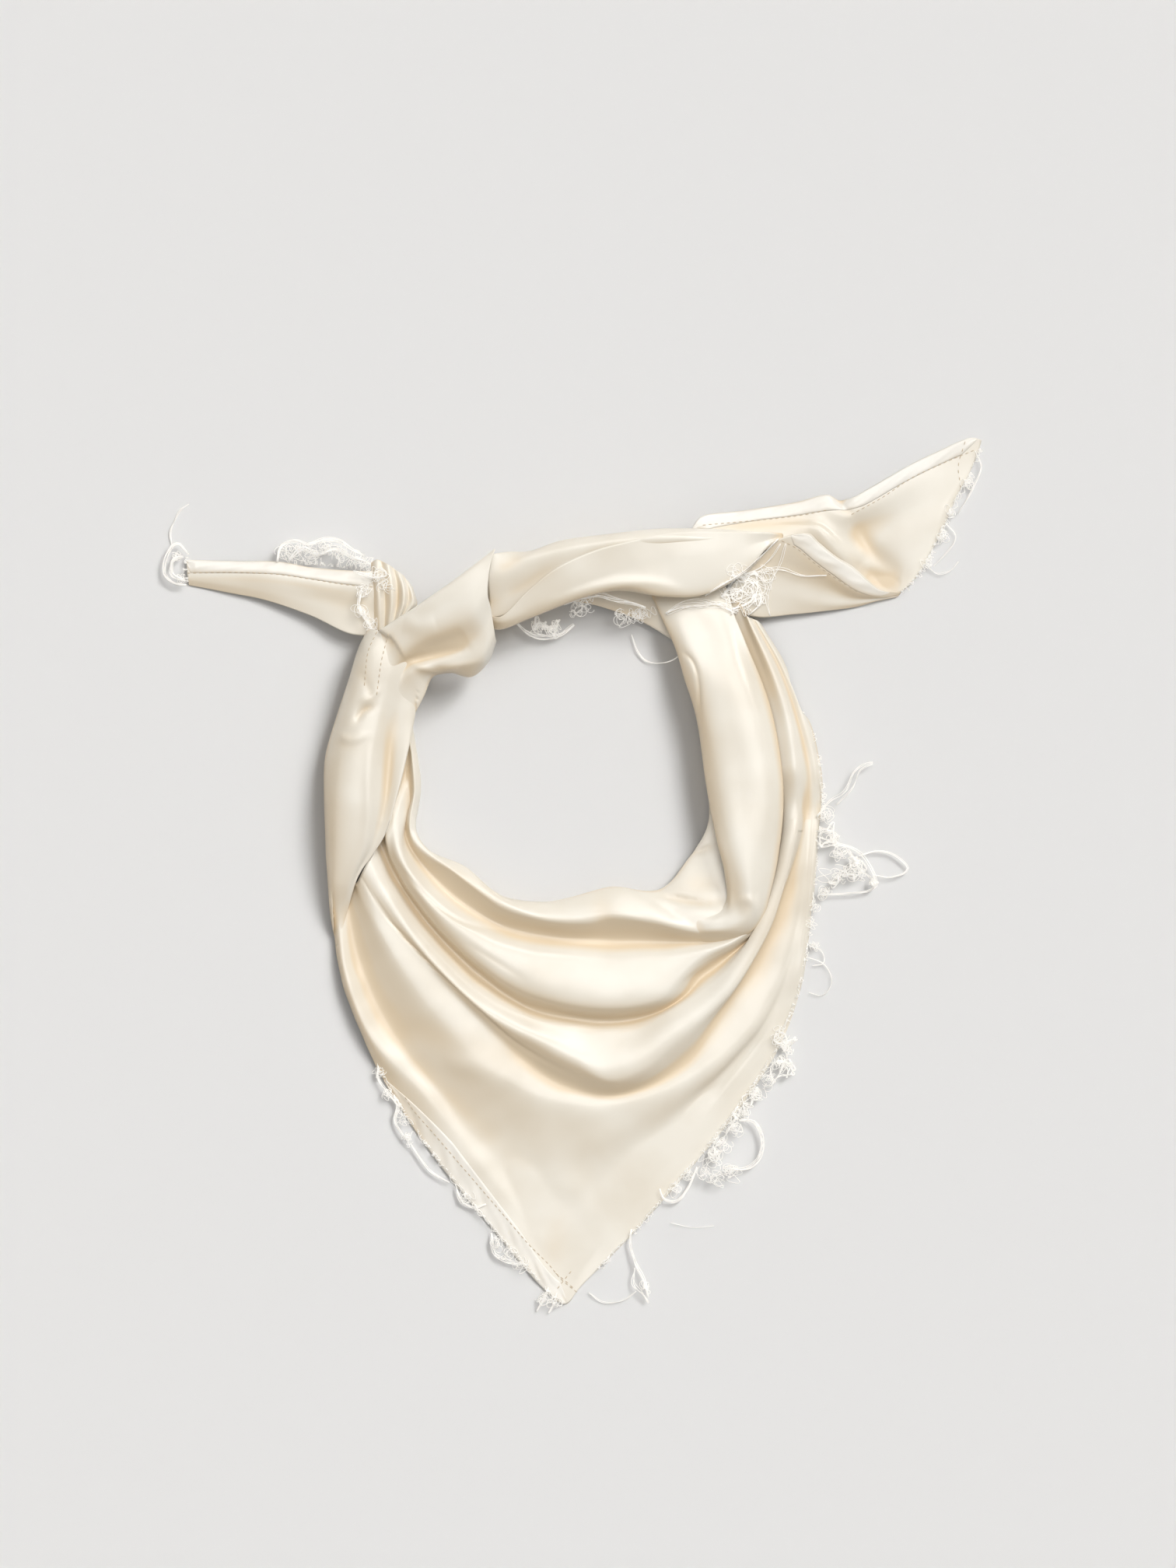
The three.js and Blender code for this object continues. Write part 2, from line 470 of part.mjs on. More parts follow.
// Cuts away the clearance round every piece placed before
function giveWay(body) {
  let left = body;
  for (const zone of keepOuts) {
    if (left.intersect(zone).volume() > 0) {
      left = left.subtract(zone);
    }
  }
  return left;
}

for (const { name, folds, along, across } of sheets) {
  surfaces.set(name, clothSurface(folds));
  const grid = sampleGrid(surfaces.get(name), { along, across });
  addPiece(name, giveWay(closeGrid(grid, { wall: clothWall })), satin);
  for (const margin of [clearance, 0]) {
    keepOuts.push(closeGrid(grid, { wall: clothWall, margin }));
  }
}

for (const hem of hems) {
  const grid = sampleGrid(surfaces.get(hem.on), hem);
  const lift = (clothWall + hemWall) / 2 + 2 * clearance;
  addPiece(hem.name, giveWay(closeGrid(grid, { wall: hemWall, lift })), hemSatin);
}

for (const bunch of fringeBunches) {
  addPiece(bunch.name, giveWay(fringeSolid(surfaces.get(bunch.on), bunch)), thread);
}

const box = new THREE.Box3().setFromObject(group);
const centre = box.getCenter(new THREE.Vector3());
group.position.set(-centre.x, -centre.y, -box.min.z);

export default group;
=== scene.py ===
import json
import math

import bpy
import numpy as np
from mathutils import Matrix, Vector
from mathutils.bvhtree import BVHTree


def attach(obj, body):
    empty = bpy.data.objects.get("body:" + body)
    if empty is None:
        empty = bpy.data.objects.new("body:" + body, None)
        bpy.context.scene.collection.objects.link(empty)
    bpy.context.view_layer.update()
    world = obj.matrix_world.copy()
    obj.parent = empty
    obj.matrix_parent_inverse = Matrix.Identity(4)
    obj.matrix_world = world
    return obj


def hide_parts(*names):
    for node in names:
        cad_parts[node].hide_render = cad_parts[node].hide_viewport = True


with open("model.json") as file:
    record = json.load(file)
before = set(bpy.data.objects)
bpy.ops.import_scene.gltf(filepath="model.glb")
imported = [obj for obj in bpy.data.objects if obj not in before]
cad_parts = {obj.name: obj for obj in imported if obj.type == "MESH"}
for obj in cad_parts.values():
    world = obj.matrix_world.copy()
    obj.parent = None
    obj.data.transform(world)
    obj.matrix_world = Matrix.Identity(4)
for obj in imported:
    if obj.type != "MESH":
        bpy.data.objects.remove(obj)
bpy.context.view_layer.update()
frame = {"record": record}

print("frame loaded")

# Rulers of the laid scarf: 0 to 1 from the left tail's end to the right tail's end, and 0 to 1 from
# the bib's point to the top of the roll. Each stretch is (from share, to share, metres).
plan = {
    "across": [(0, 0.18, 0.0648), (0.18, 0.3, 0.0432), (0.3, 0.66, 0.1296), (0.66, 0.82, 0.0576),
               (0.82, 1, 0.0648)],
    "up": [(0, 0.27, 0.0972), (0.27, 0.52, 0.09), (0.52, 0.81, 0.1044), (0.81, 1, 0.0684),
           (1, 1.118, 0.0425)],
    "foldRise": 0.01,  # a rise of 1 in the tables
    "restShares": (0.49, 0.1),  # where the frame's rest_face lies on the rulers
    "beyond": 0.3,  # how far past its ends a ruler still reads
    "silk": 0.0005,  # thickness of the cloth
    "lowest": 0.0004,  # height of the cloth's middle where it lies on the floor
    "flush": -0.00045,  # how an edge that sinks into the next cloth sits on it
    "sky": 0.1,  # a height above everything, from which a drop onto the cloth starts
}
millimetre = 0.001


def makeRuler(stretches):
    shares = [stretches[0][0]]
    places = [0.0]
    for start, end, size in stretches:
        shares.append(end)
        places.append(places[-1] + size)
    firstSlope = stretches[0][2] / (stretches[0][1] - stretches[0][0])
    lastSlope = stretches[-1][2] / (stretches[-1][1] - stretches[-1][0])
    shares = [shares[0] - plan["beyond"]] + shares + [shares[-1] + plan["beyond"]]
    places = [places[0] - plan["beyond"] * firstSlope] + places + [places[-1] + plan["beyond"] * lastSlope]
    return np.array(shares), np.array(places)


acrossRuler = makeRuler(plan["across"])
upRuler = makeRuler(plan["up"])
restMount = frame["record"]["mounts"][0]["pos_m"]
originShift = np.array([
    restMount[0] - np.interp(plan["restShares"][0], *acrossRuler),
    restMount[1] - np.interp(plan["restShares"][1], *upRuler),
])


# Turns table rows [across, up, rise] into places in metres
def placeAll(rows):
    rows = np.array(rows, float)
    return np.stack([
        np.interp(rows[:, 0], *acrossRuler) + originShift[0],
        np.interp(rows[:, 1], *upRuler) + originShift[1],
        rows[:, 2] * plan["foldRise"] + plan["lowest"],
    ], axis=1)


# Smooth curves through knots, for many lines at once: knots is (knots, lines, 3)
def smoothThrough(knots, perGap):
    before = 2 * knots[:1] - knots[1:2]
    after = 2 * knots[-1:] - knots[-2:-1]
    spread = np.concatenate([before, knots, after])
    gaps = np.sqrt(np.linalg.norm(np.diff(spread, axis=0), axis=2))[..., None]
    gaps = np.maximum(gaps, 1e-3)
    steps = (np.arange(perGap) / perGap)[:, None, None]
    parts = []
    for i in range(len(knots) - 1):
        x0, x1, x2, x3 = spread[i:i + 4]
        d0, d1, d2 = gaps[i:i + 3]
        leave = ((x1 - x0) / d0 - (x2 - x0) / (d0 + d1) + (x2 - x1) / d1) * d1
        arrive = ((x2 - x1) / d1 - (x3 - x1) / (d1 + d2) + (x3 - x2) / d2) * d1
        square = 3 * (x2 - x1) - 2 * leave - arrive
        cube = 2 * (x1 - x2) + leave + arrive
        parts.append(x1 + leave * steps + square * steps ** 2 + cube * steps ** 3)
    parts.append(knots[-1:])
    return np.concatenate(parts)


lineSteps = {"measure": 60, "crease": 16, "seam": 40}  # steps in each gap between a line's places


# Equal steps along one fold line
def stepAlong(points, count):
    dense = smoothThrough(points[:, None, :], lineSteps["measure"])[:, 0]
    lengths = np.concatenate([[0], np.cumsum(np.linalg.norm(np.diff(dense, axis=0), axis=1))])
    stations = np.linspace(0, lengths[-1], count)
    return np.stack([np.interp(stations, lengths, dense[:, k]) for k in range(3)], axis=1)


# A grid of places (across, along, 3) through the fold lines of a table, whose places are
# [across, up, rise]
def clothGrid(folds, along, perGap):
    rows = np.stack([stepAlong(placeAll(places), along) for places in folds.values()])
    return smoothThrough(rows, perGap)


# Directions square to a grid, turned so that they mostly point up
def gridNormals(grid):
    tangentAlong = np.gradient(grid, axis=1)
    tangentAcross = np.gradient(grid, axis=0)
    normals = np.cross(tangentAlong, tangentAcross)
    normals /= np.maximum(np.linalg.norm(normals, axis=2, keepdims=True), 1e-12)
    return normals if normals[..., 2].mean() > 0 else -normals


creaseShape = {"ends": 0.02, "fade": 0.6}


# Presses creases and ridges into a grid. Each is (line, width, rise, shade): a short line on the
# rulers, its width and rise in millimetres, and the share of painted warm shade that it adds. Returns
# the grid and that painted shade
def pressCreases(grid, creases):
    normals = gridNormals(grid)
    push = np.zeros(grid.shape[:2])
    shade = np.zeros(grid.shape[:2])
    for places, width, rise, shadeShare in creases:
        line = placeAll([[x, y, 0] for x, y in places])
        line = smoothThrough(line[:, None, :], lineSteps["crease"])[:, 0, :2]
        away = np.linalg.norm(grid[:, :, None, :2] - line[None, None], axis=3)
        nearest = away.argmin(axis=2)
        alongLine = np.clip(nearest / (len(line) - 1), creaseShape["ends"], 1 - creaseShape["ends"])
        fade = np.sin(np.pi * alongLine) ** creaseShape["fade"]
        band = fade * np.exp(-(away.min(axis=2) / (width * millimetre)) ** 2)
        push += rise * millimetre * band
        shade += shadeShare * band
    return grid + normals * push[..., None], shade


# The waves' lengths are in metres. scale brings their sum to about the size that a layer asks for
waveShape = {"waves": 10, "lengths": (0.012, 0.04), "bend": 40, "scale": 0.08}


# Slow waves that keep the silk from looking drawn with a ruler
def looseWaves(grid, size, seed):
    random = np.random.RandomState(seed)
    normals = gridNormals(grid)
    push = np.zeros(grid.shape[:2])
    for _ in range(waveShape["waves"]):
        turn = random.uniform(0, math.pi)
        wave = random.uniform(*waveShape["lengths"])
        phase = random.uniform(0, 2 * math.pi)
        run = grid[..., 0] * math.cos(turn) + grid[..., 1] * math.sin(turn)
        push += np.sin(run / wave * 2 * math.pi + phase + waveShape["bend"] * grid[..., 1]) * wave
    push *= size / waveShape["scale"]
    return grid + normals * push[..., None]


# Where a straight drop at x, y meets the cloths under it: (place, direction square to it) for each
def dropOnto(trees, x, y):
    hits = [tree.ray_cast(Vector((x, y, plan["sky"])), Vector((0, 0, -1)))[:2] for tree in trees]
    return [hit for hit in hits if hit[0] is not None]


# Lets the start or the finish of a grid's fold lines sink onto the cloth below it. reach is how far
# in from that edge it acts
def settleEdge(grid, below, edge, reach, gap):
    lines = np.swapaxes(grid, 0, 1)
    lines = lines if edge == "start" else lines[::-1]
    away = np.zeros(lines.shape[:2])
    away[1:] = np.cumsum(np.linalg.norm(np.diff(lines, axis=0), axis=2), axis=0)
    hold = np.clip(1 - away / reach, 0, 1)
    hold = hold * hold * (3 - 2 * hold)
    for i, j in zip(*np.nonzero(hold > 0)):
        x, y, z = lines[i, j]
        heights = [place.z for place, normal in dropOnto(below, x, y)]
        if heights:
            lines[i, j, 2] = z * (1 - hold[i, j]) + (max(heights) + gap) * hold[i, j]


# A smooth mesh object in the scene
def meshObject(name, points, faces):
    mesh = bpy.data.meshes.new(name)
    mesh.from_pydata(points, [], faces)
    mesh.polygons.foreach_set("use_smooth", [True] * len(mesh.polygons))
    thing = bpy.data.objects.new(name, mesh)
    bpy.context.scene.collection.objects.link(thing)
    return thing


uvScale = 10  # UV units in a metre


# A mesh object from a grid, with a UV map along and across the cloth
def gridObject(name, grid):
    across, along = grid.shape[:2]
    index = np.arange(across * along).reshape(across, along)
    corners = np.stack([index[:-1, :-1], index[:-1, 1:], index[1:, 1:], index[1:, :-1]], axis=2)
    tilt = np.cross(np.gradient(grid, axis=1), np.gradient(grid, axis=0))[..., 2].mean()
    faces = corners.reshape(-1, 4)
    if tilt < 0:
        faces = faces[:, ::-1]
    thing = meshObject(name, grid.reshape(-1, 3).tolist(), faces.tolist())
    lengthAlong = np.linalg.norm(np.diff(grid, axis=1), axis=2).sum(axis=1).mean()
    lengthAcross = np.linalg.norm(np.diff(grid, axis=0), axis=2).sum(axis=0).mean()
    layer = thing.data.uv_layers.new(name="cloth")
    corner = faces.reshape(-1)
    uv = np.stack([corner % along / (along - 1) * lengthAlong * uvScale,
                   corner // along / (across - 1) * lengthAcross * uvScale], axis=1)
    layer.data.foreach_set("uv", uv.reshape(-1))
    return thing


# Averages a field over its neighbours along both ways of the grid
def blurField(field, radius):
    for axis in (0, 1):
        padding = [(0, 0), (0, 0)]
        padding[axis] = (radius, radius)
        total = np.cumsum(np.pad(field, padding, mode="edge"), axis=axis)
        total = np.insert(total, 0, 0, axis=axis)
        size = field.shape[axis]
        width = 2 * radius + 1
        high = np.take(total, np.arange(size) + width, axis=axis)
        low = np.take(total, np.arange(size), axis=axis)
        field = (high - low) / width
    return field


# The painted warm shade grows with depth, in metres, and with the lean away from the window. Where
# the grid is coarser than fine, it fades
paintedShadeLook = {"blur": (12, 5), "from": 0.0004, "to": 0.0026, "most": 0.9, "fine": 0.0008, "fade": 1.5,
              "lean": 2.0, "leanTo": (-0.55, -0.83), "leanFrom": 0.06, "leanMost": 0.6, "leanBlur": 2}


# Keeps on each point how deep it lies in a fold or leans away from the window, as the share of
# painted warm shade that stands in for the shade satin gets there
def markPaintedShade(thing, grid, shade):
    depth = np.zeros(grid.shape[:2])
    for radius in paintedShadeLook["blur"]:
        depth += np.maximum(blurField(blurField(grid[..., 2], radius), radius) - grid[..., 2], 0)
    spacing = np.linalg.norm(np.gradient(grid, axis=0), axis=2)
    depth *= np.clip(paintedShadeLook["fine"] / np.maximum(spacing, 1e-6), 0, 1) ** paintedShadeLook["fade"]
    share = (depth - paintedShadeLook["from"]) / (paintedShadeLook["to"] - paintedShadeLook["from"])
    normals = gridNormals(grid)
    lean = normals[..., 0] * paintedShadeLook["leanTo"][0] + normals[..., 1] * paintedShadeLook["leanTo"][1]
    lean = np.clip(lean - paintedShadeLook["leanFrom"], 0, paintedShadeLook["leanMost"]) * paintedShadeLook["lean"]
    lean = blurField(lean, paintedShadeLook["leanBlur"])
    share = np.clip(np.clip(share, 0, 1) + lean + shade, 0, 1) * paintedShadeLook["most"]
    layer = thing.data.attributes.new("hollow", "FLOAT", "POINT")
    layer.data.foreach_set("value", share.reshape(-1))


def applyModifiers(thing):
    bpy.ops.object.select_all(action="DESELECT")
    thing.select_set(True)
    bpy.context.view_layer.objects.active = thing
    for modifier in list(thing.modifiers):
        bpy.ops.object.modifier_apply(modifier=modifier.name)


def giveWall(thing, thickness):
    wall = thing.modifiers.new("wall", "SOLIDIFY")
    wall.thickness = thickness
    wall.offset = 0
    wall.use_rim = True
    applyModifiers(thing)


bib = {
    "name": "silkBib", "node": "bib", "held": "laid",
    "flat": (0.16, 0.23), "area": 0.034, "along": 220, "perGap": 14, "waves": 0.00016, "seed": 223,
    "creases": [
        ([[.275, .565], [.3, .538], [.33, .51], [.36, .493], [.4, .483]], 1.2, -.6, .1),
        ([[.36, .468], [.4, .443], [.435, .421]], 1.3, -.3, .2),
        ([[.222, .558], [.26, .5], [.3, .455], [.34, .415], [.38, .378], [.42, .343], [.46, .318],
          [.5, .298]], .9, -.8, .25),
        ([[.288, .722], [.284, .695], [.278, .672], [.27, .648], [.262, .623],
          [.256, .605]], 1.2, -1.2, .3),
        ([[.53, .528], [.536, .505], [.538, .482]], 5, -.6, .35),
        ([[.61, .53], [.635, .524], [.665, .52], [.702, .525]], 1.8, -1.8, .4),
        ([[.64, .54], [.665, .545], [.685, .54]], 4.5, -.8, .35),
        ([[.685, .595], [.665, .588], [.65, .582]], 1, -.8, .3),
        ([[.628, .504], [.65, .508], [.675, .512]], 3, .7, 0),
        ([[.316, .568], [.345, .552], [.372, .53], [.4, .512]], 4.5, -.9, .35),
        ([[.4, .48], [.46, .473], [.54, .47], [.62, .47]], 2.2, 0, .4),
        ([[.32, .475], [.36, .435], [.41, .403], [.46, .38], [.52, .369]], 3, 0, .35),
        ([[.64, .418], [.665, .432], [.7, .448]], 3.5, -.5, .35),
        ([[.21, .53], [.212, .47], [.228, .42], [.25, .37], [.28, .34]], 7, 0, .35),
        ([[.23, .39], [.28, .36], [.35, .34], [.44, .308]], 8, -.4, .28),
        ([[.4, .335], [.45, .302], [.49, .283], [.535, .276], [.59, .282], [.64, .312]], 2.5, 0, .35),
        ([[.29, .295], [.345, .255], [.4, .205]], 9, 0, .28),
        ([[.71, .39], [.745, .47], [.775, .54], [.788, .6]], 7, -.4, .35),
        ([[.33, .314], [.36, .312], [.4, .292]], 5, .8, 0),
        ([[.46, .18], [.51, .14], [.54, .1]], 8, .5, 0),
        ([[.35, .215], [.38, .18], [.42, .13]], 6, .5, 0),
        ([[.48, .12], [.472, .08], [.476, .055]], 5, -.3, .22),
        ([[.45, .13], [.46, .095], [.475, .06]], 4, .4, 0),
    ],
    "folds": {
        "tucked edge": [[.282, .725, .3], [.29, .61, .1], [.308, .572, .1], [.358, .548, .1],
            [.4, .518, .1], [.46, .508, .1], [.55, .525, .1], [.582, .528, .1], [.645, .552, .1],
            [.678, .61, .1], [.682, .645, .1], [.677, .695, 0]],
        "neck edge": [[.29, .748, .6], [.301, .67, .5], [.297, .598, .5], [.36, .564, .5], [.4, .53, .5],
            [.46, .52, .5], [.545, .539, .5], [.608, .535, .5], [.642, .572, .4], [.667, .61, .4],
            [.672, .645, .3], [.667, .695, .08]],
        "first ridge": [[.286, .743, .8], [.294, .67, .9], [.29, .605, 1], [.345, .558, 1.1],
            [.4, .518, 1.2], [.46, .498, 1.2], [.51, .496, 1.2], [.555, .502, 1.3], [.595, .496, 1.3],
            [.628, .489, 1.3], [.665, .483, 1.2], [.697, .488, 1.25], [.717, .502, 1.2], [.718, .55, .7],
            [.705, .61, .5], [.702, .645, .4], [.697, .695, .1]],
        "first valley": [[.281, .72, .6], [.287, .65, .6], [.282, .605, .6], [.325, .546, .55],
            [.4, .494, .45], [.47, .477, .4], [.54, .473, .4], [.61, .472, .55], [.665, .47, .75],
            [.702, .478, .9], [.724, .496, 1], [.732, .55, .6], [.715, .61, .4], [.712, .645, .3],
            [.707, .695, .08]],
        "second ridge": [[.272, .675, 1], [.266, .62, 1.1], [.274, .582, 1.3], [.32, .516, 1.25],
            [.39, .468, 1.1], [.47, .448, 1.05], [.56, .444, 1.05], [.628, .45, 1.05], [.668, .458, 1.1],
            [.705, .472, 1.05], [.73, .493, .9], [.742, .55, .5], [.725, .61, .4], [.722, .645, .3],
            [.717, .695, .08]],
        "second face": [[.262, .65, .9], [.256, .612, 1.1], [.268, .57, 1], [.32, .494, 1],
            [.4, .426, 1.1], [.46, .399, 1.2], [.51, .389, 1.3], [.568, .388, 1.35], [.612, .4, 1.3],
            [.638, .424, 1.15], [.668, .446, .95], [.707, .466, .8], [.736, .491, .7], [.75, .55, .5],
            [.745, .61, .4], [.742, .645, .3], [.737, .695, .08]],
        "second valley": [[.246, .6, .4], [.27, .55, .35], [.312, .49, .35], [.377, .426, .35],
            [.444, .383, .35], [.505, .371, .35], [.56, .369, .35], [.606, .379, .35], [.64, .4, .35],
            [.66, .424, .4], [.678, .437, .4], [.712, .463, .4], [.744, .498, .4], [.756, .55, .45],
            [.764, .61, .5], [.765, .645, .3], [.76, .695, .08]],
        "third lip": [[.24, .584, .8], [.263, .535, .9], [.302, .477, .9], [.38, .401, .85],
            [.46, .364, .75], [.55, .352, .7], [.64, .39, .75], [.7, .44, .9], [.74, .51, .9],
            [.766, .61, .9], [.768, .645, .6], [.763, .695, .08]],
        "third ridge": [[.233, .572, 1], [.262, .518, 1.1], [.32, .44, 1.15], [.385, .378, 1.15],
            [.45, .342, 1.15], [.5, .316, 1.15], [.544, .294, 1.1], [.588, .31, 1.15], [.626, .342, 1.15],
            [.7, .408, 1.1], [.75, .49, 1.1], [.782, .61, 1.1], [.784, .645, .7], [.779, .695, .08]],
        "third valley": [[.226, .558, .95], [.255, .505, 1], [.32, .428, .95], [.387, .363, .8],
            [.45, .308, .45], [.496, .283, .35], [.544, .273, .3], [.6, .288, .35], [.642, .318, .35],
            [.682, .372, .35], [.745, .475, .3], [.792, .61, .35], [.794, .645, .2], [.789, .695, .08]],
        "fourth ridge": [[.218, .545, .7], [.25, .48, 1], [.312, .385, 1], [.39, .305, .8],
            [.47, .265, .5], [.55, .259, .45], [.63, .284, .5], [.705, .335, .5], [.763, .428, .3],
            [.8, .61, .3], [.802, .645, .15], [.797, .695, .08]],
        "hip hollow": [[.202, .572, .2], [.207, .528, .3], [.22, .45, .3], [.265, .355, .3],
            [.34, .27, .2], [.43, .19, 0], [.5, .155, 0], [.57, .2, 0], [.65, .262, 0], [.735, .35, .1],
            [.785, .46, .25], [.805, .61, .3], [.807, .645, .1], [.802, .695, 0]],
        "edge ridge": [[.19, .575, .2], [.193, .53, .3], [.197, .48, .45], [.204, .43, .6],
            [.238, .345, .6], [.305, .272, .35], [.36, .2, .1], [.425, .115, 0], [.488, .04, 0],
            [.55, .1, 0], [.62, .18, 0], [.69, .27, 0], [.775, .385, .1], [.798, .5, .25], [.81, .61, .25],
            [.812, .645, 0], [.807, .695, 0]],
        "outer edge": [[.187, .572, .2], [.188, .53, .2], [.19, .49, .15], [.192, .465, .12],
            [.194, .448, .15], [.203, .41, .25], [.23, .34, .2], [.26, .28, 0], [.32, .19, 0],
            [.4, .092, 0], [.46, .022, 0], [.487, .003, 0], [.505, .024, 0], [.57, .09, 0], [.65, .18, 0],
            [.705, .247, 0], [.76, .33, 0], [.787, .401, 0], [.8, .48, 0], [.81, .58, 0], [.812, .61, 0],
            [.816, .645, 0], [.809, .695, 0]],
    },
}


rightStrip = {
    "name": "silkRightStrip", "node": "right_band_under", "held": "folded",
    "flat": (0.03, 0.12), "area": 0.0029, "along": 110, "perGap": 14, "waves": 0.00008, "seed": 120,
    "settles": [{"edge": "finish", "onto": ["bib"], "reach": 0.03}],
    "creases": [
        ([[.705, .885], [.725, .842], [.74, .81], [.752, .775]], 4.5, 0, .8),
        ([[.794, .68], [.8, .64]], 2, 0, .2),
    ],
    "folds": {
        "hidden edge": [[.69, .905, .5], [.7, .88, .7], [.725, .81, .8], [.748, .74, .9], [.752, .68, .9],
            [.75, .611, .9]],
        "crease line": [[.706, .908, .7], [.712, .888, .85], [.742, .81, 1], [.761, .74, 1.1],
            [.767, .68, 1.1], [.765, .611, 1.1]],
        "strip ridge": [[.72, .887, 1.1], [.752, .82, 1.2], [.775, .75, 1.2], [.784, .68, 1.2],
            [.782, .611, 1.1]],
        "strip valley": [[.727, .884, .7], [.762, .82, .6], [.786, .75, .5], [.8, .68, .45],
            [.793, .611, .45]],
        "outer slope": [[.732, .882, .7], [.767, .82, .6], [.794, .75, .5], [.81, .68, .4],
            [.803, .611, .4]],
        "outer edge": [[.738, .877, .4], [.77, .823, .3], [.782, .775, .2], [.8, .752, .1],
            [.813, .704, 0], [.817, .673, 0], [.812, .611, 0]],
    },
}


leftBand = {
    "name": "silkLeftBand", "node": "left_band", "held": "folded",
    "flat": (0.045, 0.13), "area": 0.0054, "along": 130, "perGap": 14, "waves": 0.00008, "seed": 138,
    "settles": [{"edge": "finish", "onto": ["bib"], "reach": 0.03}],
    "creases": [
        ([[.242, .773], [.228, .766], [.218, .752]], 1.6, -1.8, .5),
        ([[.196, .735], [.212, .729], [.234, .736]], 2, .8, 0),
        ([[.25, .795], [.238, .783], [.222, .778]], 1.4, .7, 0),
        ([[.255, .765], [.259, .72], [.26, .67], [.254, .62]], 3, -.7, .35),
        ([[.238, .73], [.235, .68], [.235, .63], [.228, .585], [.212, .555]], 2.4, .7, 0),
        ([[.222, .82], [.235, .795], [.242, .775]], 2, -.4, .15),
        ([[.186, .68], [.184, .62], [.186, .57]], 3, 0, .1),
    ],
    "folds": {
        "tucked outer edge": [[.25, .868, .5], [.236, .84, .5], [.215, .75, .3], [.196, .68, .2],
            [.196, .54, .3], [.192, .48, .5]],
        "outer edge": [[.234, .87, .9], [.223, .848, 1], [.21, .806, .9], [.195, .761, .7], [.18, .71, .6],
            [.178, .66, .55], [.18, .595, .45], [.183, .54, .35], [.186, .5, .25], [.193, .464, .2]],
        "shoulder": [[.247, .868, 1.75], [.234, .842, 1.95], [.22, .795, 1.85], [.205, .735, 1.8],
            [.194, .66, 1.78], [.191, .58, 1.35], [.19, .515, .8], [.194, .466, .35]],
        "crown": [[.268, .855, 1.95], [.26, .825, 2.05], [.25, .775, 1.95], [.24, .725, 1.95],
            [.235, .665, 1.9], [.226, .59, 1.55], [.206, .535, 1.05], [.195, .468, .45]],
        "inner valley": [[.284, .828, 1.85], [.278, .798, 1.8], [.268, .745, 1.6], [.26, .69, 1.55],
            [.254, .64, 1.5], [.24, .595, 1.35], [.22, .558, 1.1], [.196, .47, .45]],
        "inner lip": [[.3, .808, 1.5], [.297, .785, 1.45], [.292, .748, 1.5], [.282, .7, 1.6],
            [.269, .65, 1.6], [.256, .608, 1.45], [.24, .582, 1.25], [.22, .552, 1.05], [.197, .472, .4]],
        "tucked lip": [[.292, .8, .9], [.287, .782, .95], [.28, .742, 1.1], [.268, .69, 1.2],
            [.25, .62, 1.1], [.23, .583, 1], [.21, .553, .8], [.196, .474, .3]],
    },
}


rightBand = {
    "name": "silkRightBand", "node": "right_band", "held": "folded",
    "flat": (0.045, 0.14), "area": 0.0057, "along": 140, "perGap": 14, "waves": 0.00008, "seed": 149,
    "settles": [{"edge": "finish", "onto": ["bib"], "reach": 0.014}],
    "creases": [
        ([[.636, .842], [.648, .832], [.656, .812], [.66, .755]], .9, -.8, .2),
        ([[.665, .57], [.685, .55], [.697, .52]], 2, 0, .1),
        ([[.706, .515], [.715, .524], [.728, .52], [.732, .508]], 2, .6, 0),
        ([[.702, .55], [.703, .525], [.698, .508]], 2, -.2, .2),
        ([[.656, .81], [.665, .75], [.676, .67]], 4, 0, .12),
    ],
    "folds": {
        "tucked inner edge": [[.61, .915, .4], [.62, .885, .5], [.642, .848, .4], [.66, .75, .3],
            [.678, .68, .3], [.686, .61, .7], [.692, .555, 1], [.694, .524, 1.1], [.685, .51, 1.1],
            [.665, .504, 1.1], [.646, .502, 1.1]],
        "inner edge": [[.598, .915, .5], [.61, .888, .8], [.628, .848, 1], [.641, .805, 1.15],
            [.656, .755, 1.25], [.667, .68, 1.25], [.674, .637, 1.3], [.682, .598, 1.5], [.692, .562, 1.5],
            [.698, .53, 1.48], [.694, .508, 1.4], [.675, .497, 1.35], [.646, .498, 1.25]],
        "inner shoulder": [[.616, .928, .6], [.623, .897, 1], [.638, .858, 1.35], [.655, .805, 1.65],
            [.668, .755, 1.75], [.682, .677, 1.78], [.696, .595, 1.85], [.71, .535, 1.7], [.71, .51, 1.55],
            [.696, .496, 1.5], [.672, .49, 1.4], [.646, .493, 1.3]],
        "crown": [[.644, .938, .6], [.651, .906, 1.1], [.665, .87, 1.3], [.685, .81, 1.8],
            [.698, .755, 1.9], [.712, .67, 1.9], [.717, .59, 1.9], [.724, .535, 1.75], [.723, .508, 1.6],
            [.706, .49, 1.5], [.674, .484, 1.4], [.646, .487, 1.25]],
        "outer slope": [[.674, .94, .6], [.681, .91, 1], [.69, .88, 1.25], [.71, .82, 1.7],
            [.728, .765, 1.8], [.745, .67, 1.8], [.74, .59, 1.7], [.736, .53, 1.5], [.73, .502, 1.4],
            [.71, .483, 1.3], [.674, .478, 1.2], [.646, .482, 1.1]],
        "crease edge": [[.688, .938, .6], [.698, .91, .9], [.703, .89, 1], [.717, .856, 1.15],
            [.75, .77, 1.2], [.766, .67, 1.25], [.76, .58, 1.2], [.749, .53, 1.1], [.741, .504, 1],
            [.72, .479, .9], [.676, .469, .8], [.646, .474, .75]],
    },
}


